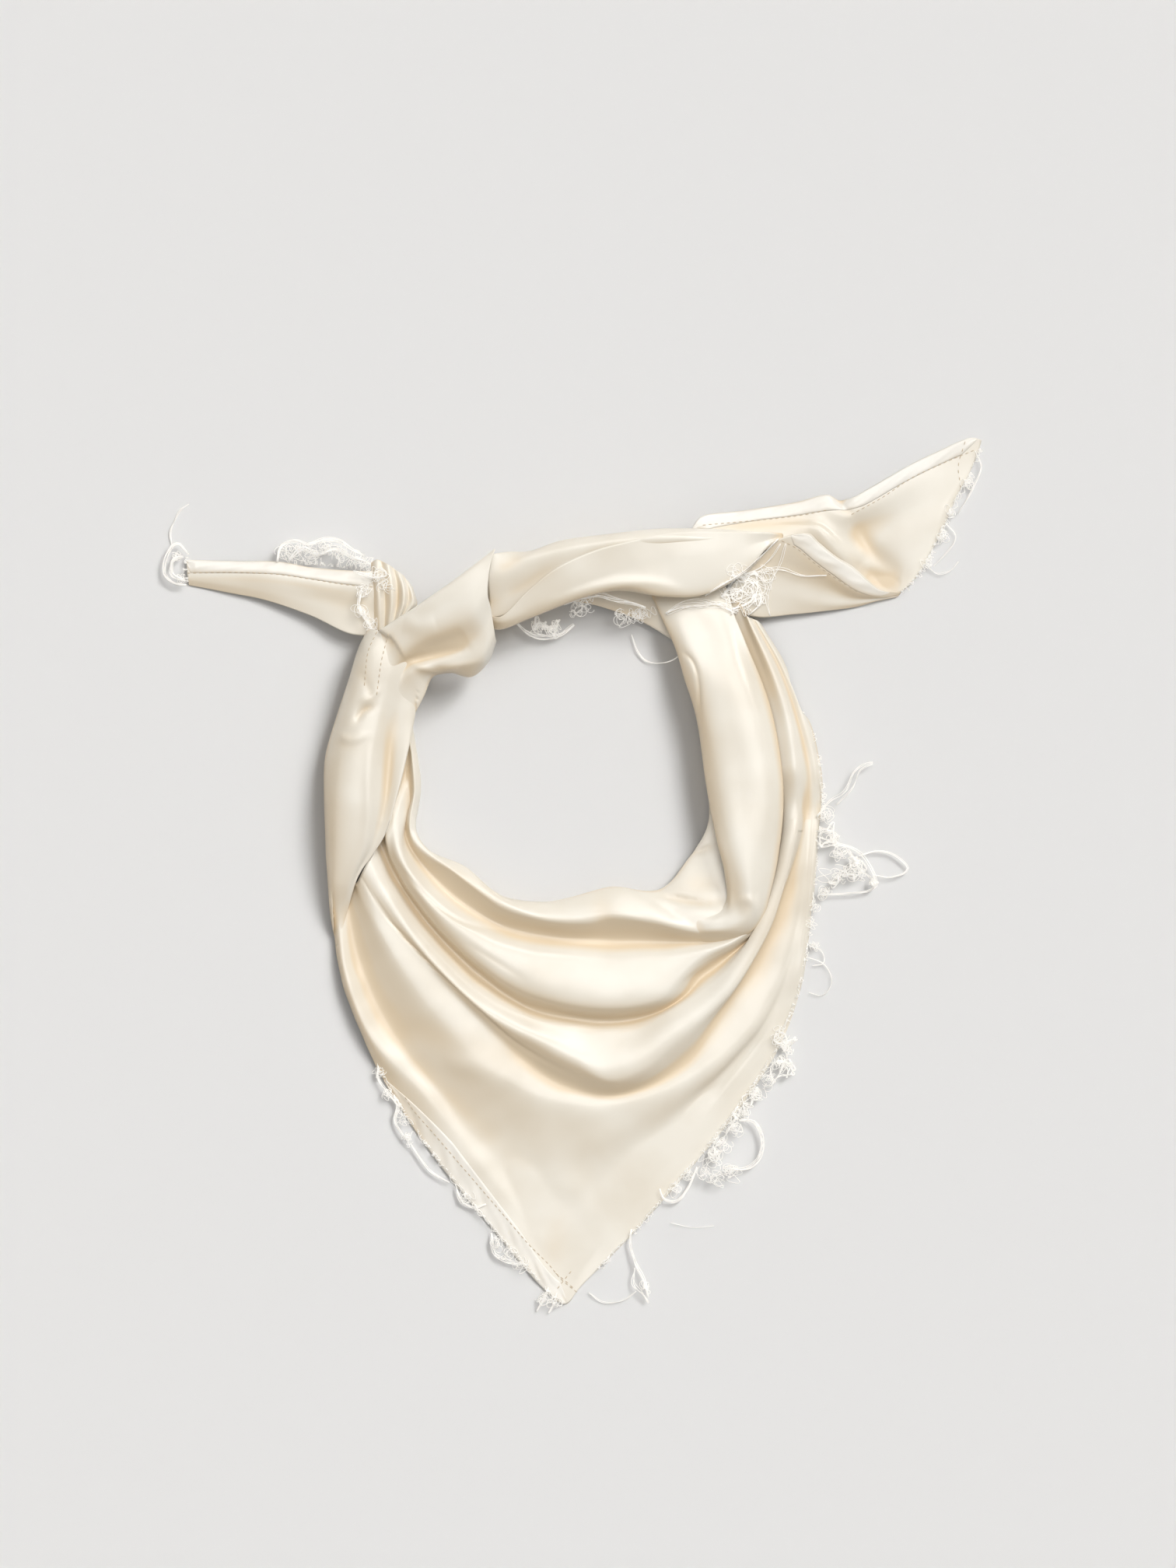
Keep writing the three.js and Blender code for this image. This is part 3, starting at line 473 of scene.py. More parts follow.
knotWrap = {
    "name": "silkKnotWrap", "node": "knot_wrap", "held": "gathered",
    "flat": (0.055, 0.07), "area": 0.0035, "along": 100, "perGap": 12, "waves": 0.00006, "seed": 108,
    "settles": [{"edge": "start", "onto": ["bib", "left_band"], "reach": 0.016}],
    "creases": [
        ([[.258, .796], [.27, .814], [.288, .828], [.324, .837], [.362, .846]], 2, -1.2, .3),
        ([[.305, .84], [.335, .852], [.362, .865]], 5, -.5, .4),
        ([[.288, .826], [.301, .821], [.324, .818], [.347, .823], [.38, .829]], 1.4, .7, 0),
        ([[.28, .88], [.3, .874], [.322, .88]], 4, .8, 0),
        ([[.3, .812], [.31, .8], [.305, .78]], 3, 0, .15),
        ([[.394, .88], [.4, .868], [.396, .848]], 2, 0, .25),
        ([[.265, .804], [.28, .824], [.305, .84], [.335, .851], [.36, .865]], 4.5, -.9, .4),
    ],
    "folds": {
        "tucked upper edge": [[.26, .86, 1.7], [.305, .89, 1.8], [.35, .92, 2], [.384, .948, 2.1]],
        "upper edge": [[.246, .866, 2], [.28, .888, 2.3], [.315, .911, 2.6], [.36, .943, 2.8],
            [.397, .972, 2.65]],
        "upper crown": [[.25, .838, 2.05], [.285, .868, 2.4], [.325, .895, 2.8], [.365, .922, 3.05],
            [.391, .95, 3]],
        "bright roll": [[.253, .818, 2.05], [.29, .848, 2.4], [.33, .87, 2.8], [.368, .89, 3.05],
            [.388, .914, 3]],
        "wrap valley": [[.258, .8, 1.9], [.282, .823, 2], [.312, .836, 2.15], [.352, .848, 2.4],
            [.38, .868, 2.65], [.392, .895, 2.75]],
        "lower ridge": [[.266, .778, 1.75], [.29, .812, 2], [.32, .822, 2.15], [.352, .824, 2.3],
            [.38, .832, 2.4], [.397, .862, 2.5]],
        "lower edge": [[.29, .756, 1.5], [.305, .784, 1.5], [.318, .81, 1.4], [.34, .815, 1.4],
            [.366, .81, 1.4], [.388, .83, 1.5], [.397, .852, 1.7]],
        "tucked lower edge": [[.278, .768, 1.4], [.3, .8, 1.3], [.322, .824, 1.1], [.358, .828, 1.1],
            [.38, .845, 1.2]],
    },
}


crossRoll = {
    "name": "silkRoll", "node": "cross_roll", "held": "folded",
    "flat": (0.065, 0.13), "area": 0.0078, "along": 130, "perGap": 12, "waves": 0.00008, "seed": 139,
    "creases": [
        ([[.46, .901], [.5, .916], [.55, .928], [.6, .928], [.64, .918]], 2.2, .8, 0),
        ([[.41, .915], [.432, .924], [.45, .936], [.472, .95]], 2.5, -.2, .4),
        ([[.534, .915], [.554, .913], [.577, .91], [.6, .908]], 1, -.6, .4),
        ([[.4, .945], [.415, .953], [.432, .963]], 2.5, -.5, .5),
        ([[.685, .928], [.71, .942], [.735, .962]], 2, 0, .2),
    ],
    "folds": {
        "lap edge": [[.388, .888, 2], [.404, .886, 2.1], [.44, .92, 2.3], [.475, .948, 2.5],
            [.525, .971, 2.5], [.57, .983, 2.45], [.61, .992, 2.35], [.645, .995, 2.25], [.68, .995, 2.1],
            [.745, .993, 1.5], [.766, .992, 1.06]],
        "front crown": [[.388, .883, 1.9], [.404, .878, 2], [.45, .898, 2.2], [.49, .92, 2.35],
            [.55, .943, 2.35], [.61, .958, 2.3], [.68, .968, 2.1], [.74, .983, 1.5], [.766, .989, 1.08]],
        "front edge": [[.384, .879, 1.6], [.4, .87, 1.6], [.44, .884, 1.85], [.5, .909, 2.15],
            [.562, .924, 2.25], [.61, .914, 2.15], [.666, .916, 1.95], [.715, .943, 1.7],
            [.752, .982, 1.4], [.767, .987, 1.04]],
        "under front": [[.39, .886, 1.2], [.406, .882, 1], [.45, .895, 1.1], [.505, .918, 1.2],
            [.56, .932, 1.2], [.61, .928, 1.2], [.665, .932, 1.3], [.71, .958, 1.4]],
        "under back": [[.395, .93, 1.2], [.415, .94, 1], [.46, .958, 1.1], [.52, .972, 1.2],
            [.6, .982, 1.3], [.68, .984, 1.3], [.735, .985, 1.35]],
        "back edge": [[.394, .966, 1.9], [.415, .969, 1.7], [.444, .97, 1.6], [.48, .983, 1.7],
            [.54, .991, 1.8], [.605, .998, 1.8], [.675, .998, 1.7], [.735, .994, 1.6], [.745, .994, 1.4],
            [.765, .993, 1.02]],
        "back crown": [[.388, .938, 2.05], [.404, .95, 2.1], [.46, .968, 2.2], [.51, .978, 2.35],
            [.6, .988, 2.38], [.68, .987, 2.1], [.74, .99, 1.5], [.765, .992, 1.04]],
        "inner turn": [[.39, .905, 1.8], [.406, .912, 1.9], [.45, .936, 2.1], [.495, .958, 2.3],
            [.56, .974, 2.36], [.62, .98, 2.3], [.68, .983, 2.05], [.735, .986, 1.42], [.763, .989, 1]],
        "tucked turn": [[.388, .885, 1.75], [.408, .888, 1.8], [.45, .922, 2.05], [.484, .948, 2.25],
            [.532, .968, 2.3], [.6, .982, 2.2], [.68, .986, 1.95], [.736, .988, 1.38], [.762, .99, 1]],
    },
}


underStrand = {
    "name": "silkUnderStrand", "node": "under_strand", "held": "folded",
    "flat": (0.03, 0.13), "area": 0.0036, "along": 110, "perGap": 12, "waves": 0.00006, "seed": 121,
    "folds": {
        "far edge": [[.322, .905, .2], [.372, .942, 0], [.46, .945, 0], [.56, .955, 0], [.64, .96, .1]],
        "back slope": [[.324, .895, .6], [.372, .922, .7], [.46, .935, .6], [.56, .942, .5],
            [.64, .938, .5]],
        "front slope": [[.326, .888, .6], [.372, .902, .6], [.46, .92, .55], [.55, .912, .5],
            [.635, .905, .4]],
        "lower edge": [[.328, .88, .3], [.372, .888, .2], [.45, .908, .2], [.515, .904, .35],
            [.551, .894, .3], [.59, .878, .25], [.626, .856, .2]],
    },
}


pleats = {
    "name": "silkPleats", "node": "knot_pleats", "held": "gathered",
    "flat": (0.03, 0.035), "area": 0.0008, "along": 60, "perGap": 12, "waves": 0.00004, "seed": 66,
    "folds": {
        "tucked edge": [[.238, .956, .4], [.238, .92, .5], [.24, .868, .5]],
        "first ridge": [[.245, .96, .6], [.246, .935, .95], [.248, .9, .95], [.249, .869, .8]],
        "first valley": [[.251, .958, .6], [.254, .932, .8], [.256, .9, .8], [.255, .873, .75]],
        "second ridge": [[.259, .954, .8], [.263, .932, 1.05], [.264, .902, 1.05], [.261, .877, .95]],
        "second valley": [[.266, .949, .7], [.271, .928, .85], [.271, .902, .85], [.267, .881, .9]],
        "third ridge": [[.273, .944, .8], [.279, .925, 1.1], [.279, .903, 1.15], [.273, .884, 1.1]],
        "third valley": [[.279, .939, .65], [.285, .922, .85], [.285, .905, .9], [.277, .887, .9]],
        "fourth ridge": [[.285, .932, .7], [.29, .918, .95], [.291, .904, 1], [.282, .89, 1]],
        "outer edge": [[.29, .925, .4], [.294, .912, .6], [.296, .902, .7], [.288, .894, .8]],
    },
}


leftTail = {
    "name": "silkLeftTail", "node": "left_tail", "held": "laid",
    "flat": (0.03, 0.09), "area": 0.002, "along": 120, "perGap": 14, "waves": 0.00006, "seed": 128,
    "creases": [
        ([[.006, .936], [.06, .936], [.12, .932], [.18, .922], [.22, .915]], 1.3, 0, .35),
        ([[.155, .915], [.19, .908], [.222, .902]], 3, -.3, .15),
        ([[.23, .923], [.226, .895], [.236, .868]], 1.2, .4, .2),
    ],
    "folds": {
        "top edge": [[0, .96, .1], [.064, .958, .2], [.122, .957, .25], [.16, .95, .3], [.204, .946, .4],
            [.242, .945, .5]],
        "hem line": [[.001, .942, .15], [.08, .941, .35], [.12, .939, .45], [.16, .933, .55],
            [.204, .926, .65], [.242, .922, .75]],
        "middle": [[.002, .935, .12], [.08, .925, .28], [.14, .912, .42], [.2, .895, .55],
            [.242, .888, .65]],
        "lower edge": [[.003, .928, 0], [.061, .917, .08], [.1, .909, .2], [.161, .888, .4],
            [.21, .865, .6], [.242, .862, .65]],
    },
}


rightTail = {
    "name": "silkRightTail", "node": "right_tail", "held": "laid",
    "flat": (0.035, 0.13), "area": 0.004, "along": 140, "perGap": 14, "waves": 0.00006, "seed": 149,
    "creases": [
        ([[.66, 1.006], [.71, 1.004], [.76, 1.005], [.805, 1.008]], 3.4, -.9, .85),
        ([[.803, 1.018], [.82, .99], [.842, .968], [.865, .952]], 3.6, 1.2, 0),
        ([[.85, 1.016], [.868, .986], [.89, .963], [.92, .94]], 4, -1, .3),
        ([[.872, .942], [.9, .934], [.92, .933]], 5, -.6, .85),
        ([[.838, 1.038], [.846, 1.025], [.856, 1.018]], 1.6, -.8, .4),
        ([[.845, .968], [.87, .947], [.9, .93], [.918, .923]], 3, -.4, .35),
    ],
    "folds": {
        "top edge": [[.649, .998, 1.16], [.656, 1.01, 1.1], [.664, 1.016, 1], [.72, 1.023, .7],
            [.785, 1.034, .5], [.823, 1.043, .55], [.839, 1.036, .3], [.856, 1.04, .5], [.878, 1.052, .4],
            [.93, 1.082, .2], [.963, 1.098, .1], [1.009, 1.117, .05], [1.022, 1.114, 0]],
        "hem line": [[.655, .992, 1.16], [.72, 1.006, 1], [.796, 1.015, .7], [.84, 1.02, .7],
            [.867, 1.025, .5], [.922, 1.055, .3], [.974, 1.081, .1], [1.018, 1.1, 0]],
        "upper ridge": [[.69, .985, 1.18], [.76, 1, 1], [.81, 1, .9], [.84, .988, .6], [.87, 1, .2],
            [.92, 1.02, .2], [.97, 1.04, .1], [1.008, 1.075, 0]],
        "fold valley": [[.72, .978, 1.2], [.79, .978, .9], [.83, .972, .7], [.875, .968, .2],
            [.92, .99, .2], [.965, 1.01, .1], [.99, 1.042, 0]],
        "lower slope": [[.76, .97, .7], [.81, .96, .6], [.85, .94, .4], [.885, .935, .1], [.925, .955, .1],
            [.955, .972, .05], [.972, 1, 0]],
        "bottom edge": [[.79, .955, .4], [.83, .935, .3], [.87, .921, .15], [.9, .916, .05], [.92, .92, 0],
            [.942, .943, 0], [.956, .97, 0]],
    },
}


tailFlap = {
    "name": "silkTailFlap", "node": "right_tail_flap", "held": "folded",
    "flat": (0.03, 0.075), "area": 0.002, "along": 110, "perGap": 14, "waves": 0.00006, "seed": 118,
    "creases": [
        ([[.72, .945], [.74, .958], [.76, .978]], 2.4, -.3, .3),
        ([[.77, .98], [.79, .965], [.82, .942], [.85, .92]], 1.4, 0, .25),
        ([[.878, .92], [.9, .916], [.918, .917]], 1.6, 0, .2),
    ],
    "folds": {
        "upper fold": [[.764, .984, 1.1], [.782, .992, 1.2], [.8, .993, 1.15], [.812, .982, 1.05],
            [.834, .964, .95], [.856, .951, .75], [.875, .934, .6], [.891, .922, .4], [.918, .918, .15]],
        "hem line": [[.75, .975, 1.1], [.763, .985, 1.2], [.784, .976, 1.1], [.806, .958, .95],
            [.828, .942, .8], [.861, .92, .55], [.89, .912, .25], [.916, .916, .1]],
        "middle": [[.722, .95, .85], [.77, .944, .7], [.82, .925, .45], [.86, .911, .25],
            [.915, .914, .05]],
        "lower slope": [[.7, .925, .75], [.75, .915, .55], [.8, .905, .35], [.85, .902, .2],
            [.913, .913, .05]],
        "bottom edge": [[.69, .905, .6], [.728, .887, .4], [.779, .89, .25], [.823, .895, .15],
            [.861, .9, .05], [.894, .91, 0], [.911, .915, 0]],
    },
}


clothLayers = [bib, rightStrip, leftBand, rightBand, underStrand, crossRoll, knotWrap, pleats, leftTail,
               rightTail, tailFlap]


# A new material with its nodes, its links and its shader
def makeMaterial(name):
    material = bpy.data.materials.new(name)
    material.use_nodes = True
    nodes = material.node_tree.nodes
    shader = next(node for node in nodes if node.type == "BSDF_PRINCIPLED")
    return material, nodes, material.node_tree.links, shader


# A node with its settings by their own names, and its sockets by theirs with _ for a space
def addNode(nodes, kind, **values):
    node = nodes.new(kind)
    for key, value in values.items():
        if hasattr(node, key) and not key[0].isupper():
            setattr(node, key, value)
        else:
            node.inputs[key.replace("_", " ")].default_value = value
    return node


# Satin: ivory colour that drifts a little, mixed towards a painted warm shade where the hollow
# attribute marks folds, creases and slopes that lean away from the window, and a tiny weave on the
# cloth's own UV map
satin = {
    "light": (0.79, 0.75, 0.665, 1),
    "deep": (0.73, 0.675, 0.575, 1),
    # hollow is the colour of the painted warm shade
    "hollow": (0.73, 0.59, 0.405, 1),
    "drift": 22.0, "driftDetail": 3.0, "driftRough": 0.55, "ramp": (0.35, 0.62),
    "weave": 420.0, "weaveBend": 1.5, "weaveDepth": 0.00003, "weaveStrength": 0.35,
    "slubs": 0.35, "detail": 2.0,
    "rough": 0.31, "roughRange": 0.08, "shine": 1.0, "sheen": 0.12, "sheenRough": 0.4,
}


def makeSatin(name, look):
    material, nodes, links, shader = makeMaterial(name)
    coords = addNode(nodes, "ShaderNodeTexCoord")
    cloth = addNode(nodes, "ShaderNodeUVMap", uv_map="cloth")
    drift = addNode(nodes, "ShaderNodeTexNoise", Scale=look["drift"], Detail=look["driftDetail"],
                    Roughness=look["driftRough"])
    tint = addNode(nodes, "ShaderNodeValToRGB")
    for element, position, colour in zip(tint.color_ramp.elements, look["ramp"], ("deep", "light")):
        element.position = position
        element.color = look[colour]
    links.new(coords.outputs["Object"], drift.inputs["Vector"])
    links.new(drift.outputs["Fac"], tint.inputs["Fac"])
    # The hollow attribute is the mask of painted warm shade
    fold = addNode(nodes, "ShaderNodeAttribute", attribute_name="hollow")
    shade = addNode(nodes, "ShaderNodeMix", data_type="RGBA")
    shade.inputs[7].default_value = look["hollow"]
    links.new(fold.outputs["Fac"], shade.inputs[0])
    links.new(tint.outputs["Color"], shade.inputs[6])
    links.new(shade.outputs[2], shader.inputs["Base Color"])
    rough = addNode(nodes, "ShaderNodeMapRange", To_Min=look["rough"] - look["roughRange"] / 2,
                    To_Max=look["rough"] + look["roughRange"] / 2)
    links.new(drift.outputs["Fac"], rough.inputs["Value"])
    links.new(rough.outputs["Result"], shader.inputs["Roughness"])
    floats = addNode(nodes, "ShaderNodeTexWave", wave_type="BANDS", bands_direction="DIAGONAL",
                     Scale=look["weave"], Distortion=look["weaveBend"], Detail=look["detail"])
    slubs = addNode(nodes, "ShaderNodeTexNoise", Scale=look["weave"] * look["slubs"],
                    Detail=look["detail"])
    together = addNode(nodes, "ShaderNodeMath", operation="ADD")
    links.new(cloth.outputs["UV"], floats.inputs["Vector"])
    links.new(cloth.outputs["UV"], slubs.inputs["Vector"])
    links.new(floats.outputs["Fac"], together.inputs[0])
    links.new(slubs.outputs["Fac"], together.inputs[1])
    bump = addNode(nodes, "ShaderNodeBump", Strength=look["weaveStrength"], Distance=look["weaveDepth"])
    links.new(together.outputs["Value"], bump.inputs["Height"])
    links.new(bump.outputs["Normal"], shader.inputs["Normal"])
    shader.inputs["Sheen Weight"].default_value = look["sheen"]
    shader.inputs["Sheen Roughness"].default_value = look["sheenRough"]
    shader.inputs["Specular IOR Level"].default_value = look["shine"]
    return material


silkFinish = makeSatin("ivorySatin", satin)
# Hem strips use a lighter copy of the satin, painted light for their bright turned edges
litHemSatin = {**satin, "light": (0.81, 0.785, 0.73, 1), "deep": (0.78, 0.745, 0.675, 1)}
litHemFinish = makeSatin("ivoryLitHemSatin", litHemSatin)

# Thread: pale in the frayed edges, with a painted glow that lifts their shade; tan in the seams, as
# painted shade for the seams' grooves
looseThread = {"light": (0.97, 0.96, 0.93, 1), "deep": (0.93, 0.9, 0.85, 1), "paintedGlow": 0.13,
               "fibre": 900.0, "detail": 2.0, "rough": 0.6, "sheen": 0.3}
# The seam thread's tan is painted shade for the seam's groove, laid on the real stitches
seamShadeThread = {**looseThread, "light": (0.6, 0.5, 0.36, 1), "deep": (0.5, 0.4, 0.28, 1), "paintedGlow": 0.0}


def makeThread(name, look):
    material, nodes, links, shader = makeMaterial(name)
    coords = addNode(nodes, "ShaderNodeTexCoord")
    fibre = addNode(nodes, "ShaderNodeTexNoise", Scale=look["fibre"], Detail=look["detail"])
    tint = addNode(nodes, "ShaderNodeValToRGB")
    tint.color_ramp.elements[0].color = look["deep"]
    tint.color_ramp.elements[1].color = look["light"]
    links.new(coords.outputs["Object"], fibre.inputs["Vector"])
    links.new(fibre.outputs["Fac"], tint.inputs["Fac"])
    links.new(tint.outputs["Color"], shader.inputs["Base Color"])
    shader.inputs["Roughness"].default_value = look["rough"]
    # The emission is a painted glow that lightens the threads' own shade
    shader.inputs["Emission Color"].default_value = look["light"]
    shader.inputs["Emission Strength"].default_value = look["paintedGlow"]
    shader.inputs["Sheen Weight"].default_value = look["sheen"]
    return material


threadFinish = makeThread("ivoryThread", looseThread)
seamShadeFinish = makeThread("ivorySeamShadeThread", seamShadeThread)

print("materials made")

silkPieces = {}
silkGrids = {}
silkTrees = {}


# Makes one piece of cloth from its grid, and keeps both for what lies on it
def layCloth(row, grid, shade, thickness, finish):
    grid[..., 2] = np.maximum(grid[..., 2], plan["lowest"])
    piece = gridObject(row["name"], grid)
    markPaintedShade(piece, grid, shade)
    giveWall(piece, thickness)
    piece.data.materials.append(finish)
    silkPieces[row["node"]] = piece
    silkGrids[row["node"]] = grid
    silkTrees[row["node"]] = BVHTree.FromObject(piece, bpy.context.evaluated_depsgraph_get())
    return piece


for layer in clothLayers:
    grid = clothGrid(layer["folds"], layer["along"], layer["perGap"])
    grid = looseWaves(grid, layer["waves"], layer["seed"])
    grid, shade = pressCreases(grid, layer.get("creases", []))
    for settle in layer.get("settles", []):
        below = [silkTrees[node] for node in settle["onto"]]
        settleEdge(grid, below, settle["edge"], settle["reach"], plan["flush"])
    piece = layCloth(layer, grid, shade, plan["silk"], silkFinish)
    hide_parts(layer["node"])
    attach(piece, "root")

print("silk laid")

# Stitched hem strips: a run of a silk layer (from and to shares along and across it), lifted and
# rounded over its turned edge
hems = [
    {"name": "hemLeftTail", "node": "left_tail_hem", "on": "left_tail", "along": (0, 0.99),
     "across": (0.0, 0.3), "length": 0.088, "steps": (240, 12), "lift": 0.0006,
     "taper": (0.02, 0.02), "pucker": 0.00006},
    {"name": "hemRightTail", "node": "right_tail_hem", "on": "right_tail", "along": (0.0, 0.985),
     "across": (0.0, 0.165), "length": 0.13, "steps": (280, 12), "lift": 0.0005,
     "taper": (0.05, 0.05), "pucker": 0.00008},
    {"name": "hemTailFlap", "node": "flap_hem", "on": "right_tail_flap", "along": (0.1, 0.92),
     "across": (0.02, 0.25), "length": 0.055, "steps": (180, 12), "lift": 0.0002,
     "taper": (0.1, 0.1), "pucker": 0.00006},
    {"name": "hemBib", "node": "bib_hem", "on": "bib", "along": (0.2, 0.455),
     "across": (0.94, 1.0), "length": 0.11, "steps": (280, 12), "lift": 0.00016,
     "taper": (0.35, 0.03), "pucker": 0.00012},
]
# Puckers are (length of a wave, share of the hem's pucker)
hemShape = {"puckers": [(0.0031, 0.15), (0.0083, 0.7), (0.0152, 1.0)], "wall": 0.0004,
            "narrowest": 0.02, "least": 0.00008, "ends": 0.004, "round": 0.5, "slant": 3}
fullTurn = 6.28  # radians, nearly


# A finer patch of a grid between two shares each way, narrowed to its outer side at both ends
def patchOf(grid, along, across, steps, taper):
    u = np.linspace(along[0], along[1], steps[0])
    ends = np.minimum((u - along[0]) / taper[0], (along[1] - u) / taper[1]) / (along[1] - along[0])
    ends = np.sqrt(np.clip(ends, hemShape["narrowest"], 1))
    inner, outer = across if across[1] > 0.5 else across[::-1]
    v = outer + (inner - outer) * np.linspace(0, 1, steps[1])[:, None] * ends[None, :]
    v = v * (grid.shape[0] - 1)
    u = np.broadcast_to(u[None, :] * (grid.shape[1] - 1), v.shape)
    u0 = np.clip(u.astype(int), 0, grid.shape[1] - 2)
    v0 = np.clip(v.astype(int), 0, grid.shape[0] - 2)
    fu = (u - u0)[..., None]
    fv = (v - v0)[..., None]
    low = grid[v0, u0] * (1 - fu) + grid[v0, u0 + 1] * fu
    high = grid[v0 + 1, u0] * (1 - fu) + grid[v0 + 1, u0 + 1] * fu
    return low * (1 - fv) + high * fv


for hem in hems:
    patch = patchOf(silkGrids[hem["on"]], hem["along"], hem["across"], hem["steps"], hem["taper"])
    normals = gridNormals(patch)
    over = np.linspace(0, math.pi, patch.shape[0])[:, None]
    run = np.arange(patch.shape[1])[None, :] * (hem["length"] / patch.shape[1])
    ends = np.clip(np.minimum(run, run[:, ::-1]) / hemShape["ends"], 0, 1)
    lift = hemShape["least"] + hem["lift"] * ends * np.sin(over) ** hemShape["round"]
    for wave, share in hemShape["puckers"]:
        phase = run / wave * fullTurn + hemShape["slant"] * over * share
        lift = lift + hem["pucker"] * share * np.sin(over) * np.sin(phase)
    grid = patch + normals * lift[..., None]
    piece = layCloth(hem, grid, 0, hemShape["wall"], litHemFinish)
    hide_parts(hem["node"])
    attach(piece, "root")

print("hems laid")

# One sewn stitch: a small round bead of thread, drawn out lengthways
stitch = {"length": 0.0019, "radius": 0.00024, "lookAhead": 3}
bpy.ops.object.select_all(action="DESELECT")
bpy.ops.mesh.primitive_uv_sphere_add(segments=6, ring_count=5, radius=1, location=(0, 0, 0))
bead = bpy.context.active_object
bpy.ops.object.mode_set(mode="EDIT")
bpy.ops.mesh.select_all(action="SELECT")
bpy.ops.transform.resize(value=(stitch["length"] / 2, stitch["radius"], stitch["radius"]))
bpy.ops.object.mode_set(mode="OBJECT")
beadPoints = np.array([point.co[:] for point in bead.data.vertices])
beadFaces = [list(face.vertices) for face in bead.data.polygons]
bpy.data.objects.remove(bead)


# Which way a stitch at a place points: along the line, looking a few of its steps ahead, or back
# from its last step
def aheadOn(dense, place):
    nearest = np.linalg.norm(dense - place, axis=1).argmin()
    ahead = dense[min(nearest + stitch["lookAhead"], len(dense) - 1)] - place
    if np.linalg.norm(ahead) < 1e-5:
        ahead = place - dense[max(nearest - stitch["lookAhead"], 0)]
    return Vector(ahead)


# Rows of stitches along lines on the rulers, laid on the highest cloth under them
def stitchPiece(name, lines, on):
    trees = [silkTrees[node] for node in on]
    points = []
    faces = []
    for line, gap in lines:
        centre = placeAll([[x, y, 0] for x, y in line])
        dense = smoothThrough(centre[:, None, :], lineSteps["seam"])[:, 0]
        length = np.linalg.norm(np.diff(dense, axis=0), axis=1).sum()
        for place in stepAlong(centre, max(2, int(length / gap))):
            hits = dropOnto(trees, place[0], place[1])
            if not hits:
                continue
            spot, normal = max(hits, key=lambda hit: hit[0].z)
            ahead = aheadOn(dense, place)
            ahead = (ahead - normal * ahead.dot(normal)).normalized()
            side = normal.cross(ahead)
            turn = np.array([ahead[:], side[:], normal[:]])
            faces += [[corner + len(points) * len(beadPoints) for corner in face] for face in beadFaces]
            points.append(np.array(spot[:]) + beadPoints @ turn)
    piece = meshObject(name, np.concatenate(points).tolist(), faces)
    piece.data.materials.append(seamShadeFinish)
    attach(piece, "root")


# Seams: lines on the rulers with the step between stitches, and the cloth that each is sewn on
seams = [
    {"name": "seamBib", "on": ["bib", "bib_hem"], "lines": [
        ([[.282, .268], [.29, .255], [.32, .22], [.35, .185], [.38, .15], [.41, .115], [.44, .08],
          [.465, .055], [.482, .035], [.5, .02]], 0.0026),
        ([[.476, .042], [.486, .034], [.495, .026]], 0.002),
        ([[.493, .044], [.485, .034], [.478, .025]], 0.002),
    ]},
    {"name": "seamLeftBand", "on": ["left_band", "knot_wrap"], "lines": [
        ([[.245, .865], [.235, .842], [.23, .8]], 0.0024),
        ([[.26, .862], [.252, .83], [.246, .788]], 0.0024),
    ]},
    {"name": "seamLeftTail", "on": ["left_tail", "left_tail_hem"], "lines": [
        ([[.003, .943], [.06, .944], [.12, .941], [.161, .935], [.204, .928], [.238, .925]], 0.0026),
    ]},
    {"name": "seamRightTail", "on": ["right_tail", "right_tail_hem"], "lines": [
        ([[.665, 1.004], [.719, 1.009], [.76, 1.013], [.796, 1.018], [.82, 1.023]], 0.0026),
        ([[.856, 1.019], [.894, 1.04], [.93, 1.064], [.974, 1.085], [1.01, 1.1]], 0.0026),
        ([[1, 1.11], [.992, 1.08], [.995, 1.055]], 0.0026),
    ]},
    {"name": "seamTailFlap", "on": ["right_tail_flap", "flap_hem"], "lines": [
        ([[.766, .983], [.784, .974], [.806, .956], [.828, .94], [.86, .92]], 0.0026),
    ]},
]
for seam in seams:
    stitchPiece(seam["name"], seam["lines"], seam["on"])

print("seams sewn")

pathPoints = 13  # places along one thread
frayShare = 0.55  # the share made of the edge and tuft threads and net knots in the tables below
# skew is a direction that no thread follows, lies the least and the most height above the cloth
threadShape = {"radius": 0.00012, "perGap": 2, "sides": 4, "skew": (0.13, 0.09, 1.0),
               "lies": (0.0002, 0.0015)}


# Round threads along many paths of the same number of points: paths is (threads, points, 3)
def threadPiece(name, paths):
    sides, radius = threadShape["sides"], threadShape["radius"]
    paths = smoothThrough(np.swapaxes(paths, 0, 1), threadShape["perGap"])
    paths = np.swapaxes(paths, 0, 1)
    paths[..., 2] = np.maximum(paths[..., 2], radius)
    count, points = paths.shape[:2]
    tangents = np.gradient(paths, axis=1)
    tangents /= np.maximum(np.linalg.norm(tangents, axis=2, keepdims=True), 1e-9)
    side = np.cross(tangents, np.array(threadShape["skew"]))
    side /= np.maximum(np.linalg.norm(side, axis=2, keepdims=True), 1e-9)
    upward = np.cross(side, tangents)
    turns = np.arange(sides) / sides * 2 * math.pi
    ring = (side[:, :, None] * np.cos(turns)[None, None, :, None]
            + upward[:, :, None] * np.sin(turns)[None, None, :, None])
    places = paths[:, :, None] + ring * radius
    index = np.arange(count * points * sides).reshape(count, points, sides)
    after = np.roll(index, -1, axis=2)
    faces = np.stack([index[:, :-1], after[:, :-1], after[:, 1:], index[:, 1:]], axis=3).reshape(-1, 4)
    caps = np.concatenate([index[:, 0, ::-1].reshape(-1, sides), index[:, -1].reshape(-1, sides)])
    piece = meshObject(name, places.reshape(-1, 3).tolist(), faces.tolist() + caps.tolist())
    piece.data.materials.append(threadFinish)
    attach(piece, "root")
    return piece


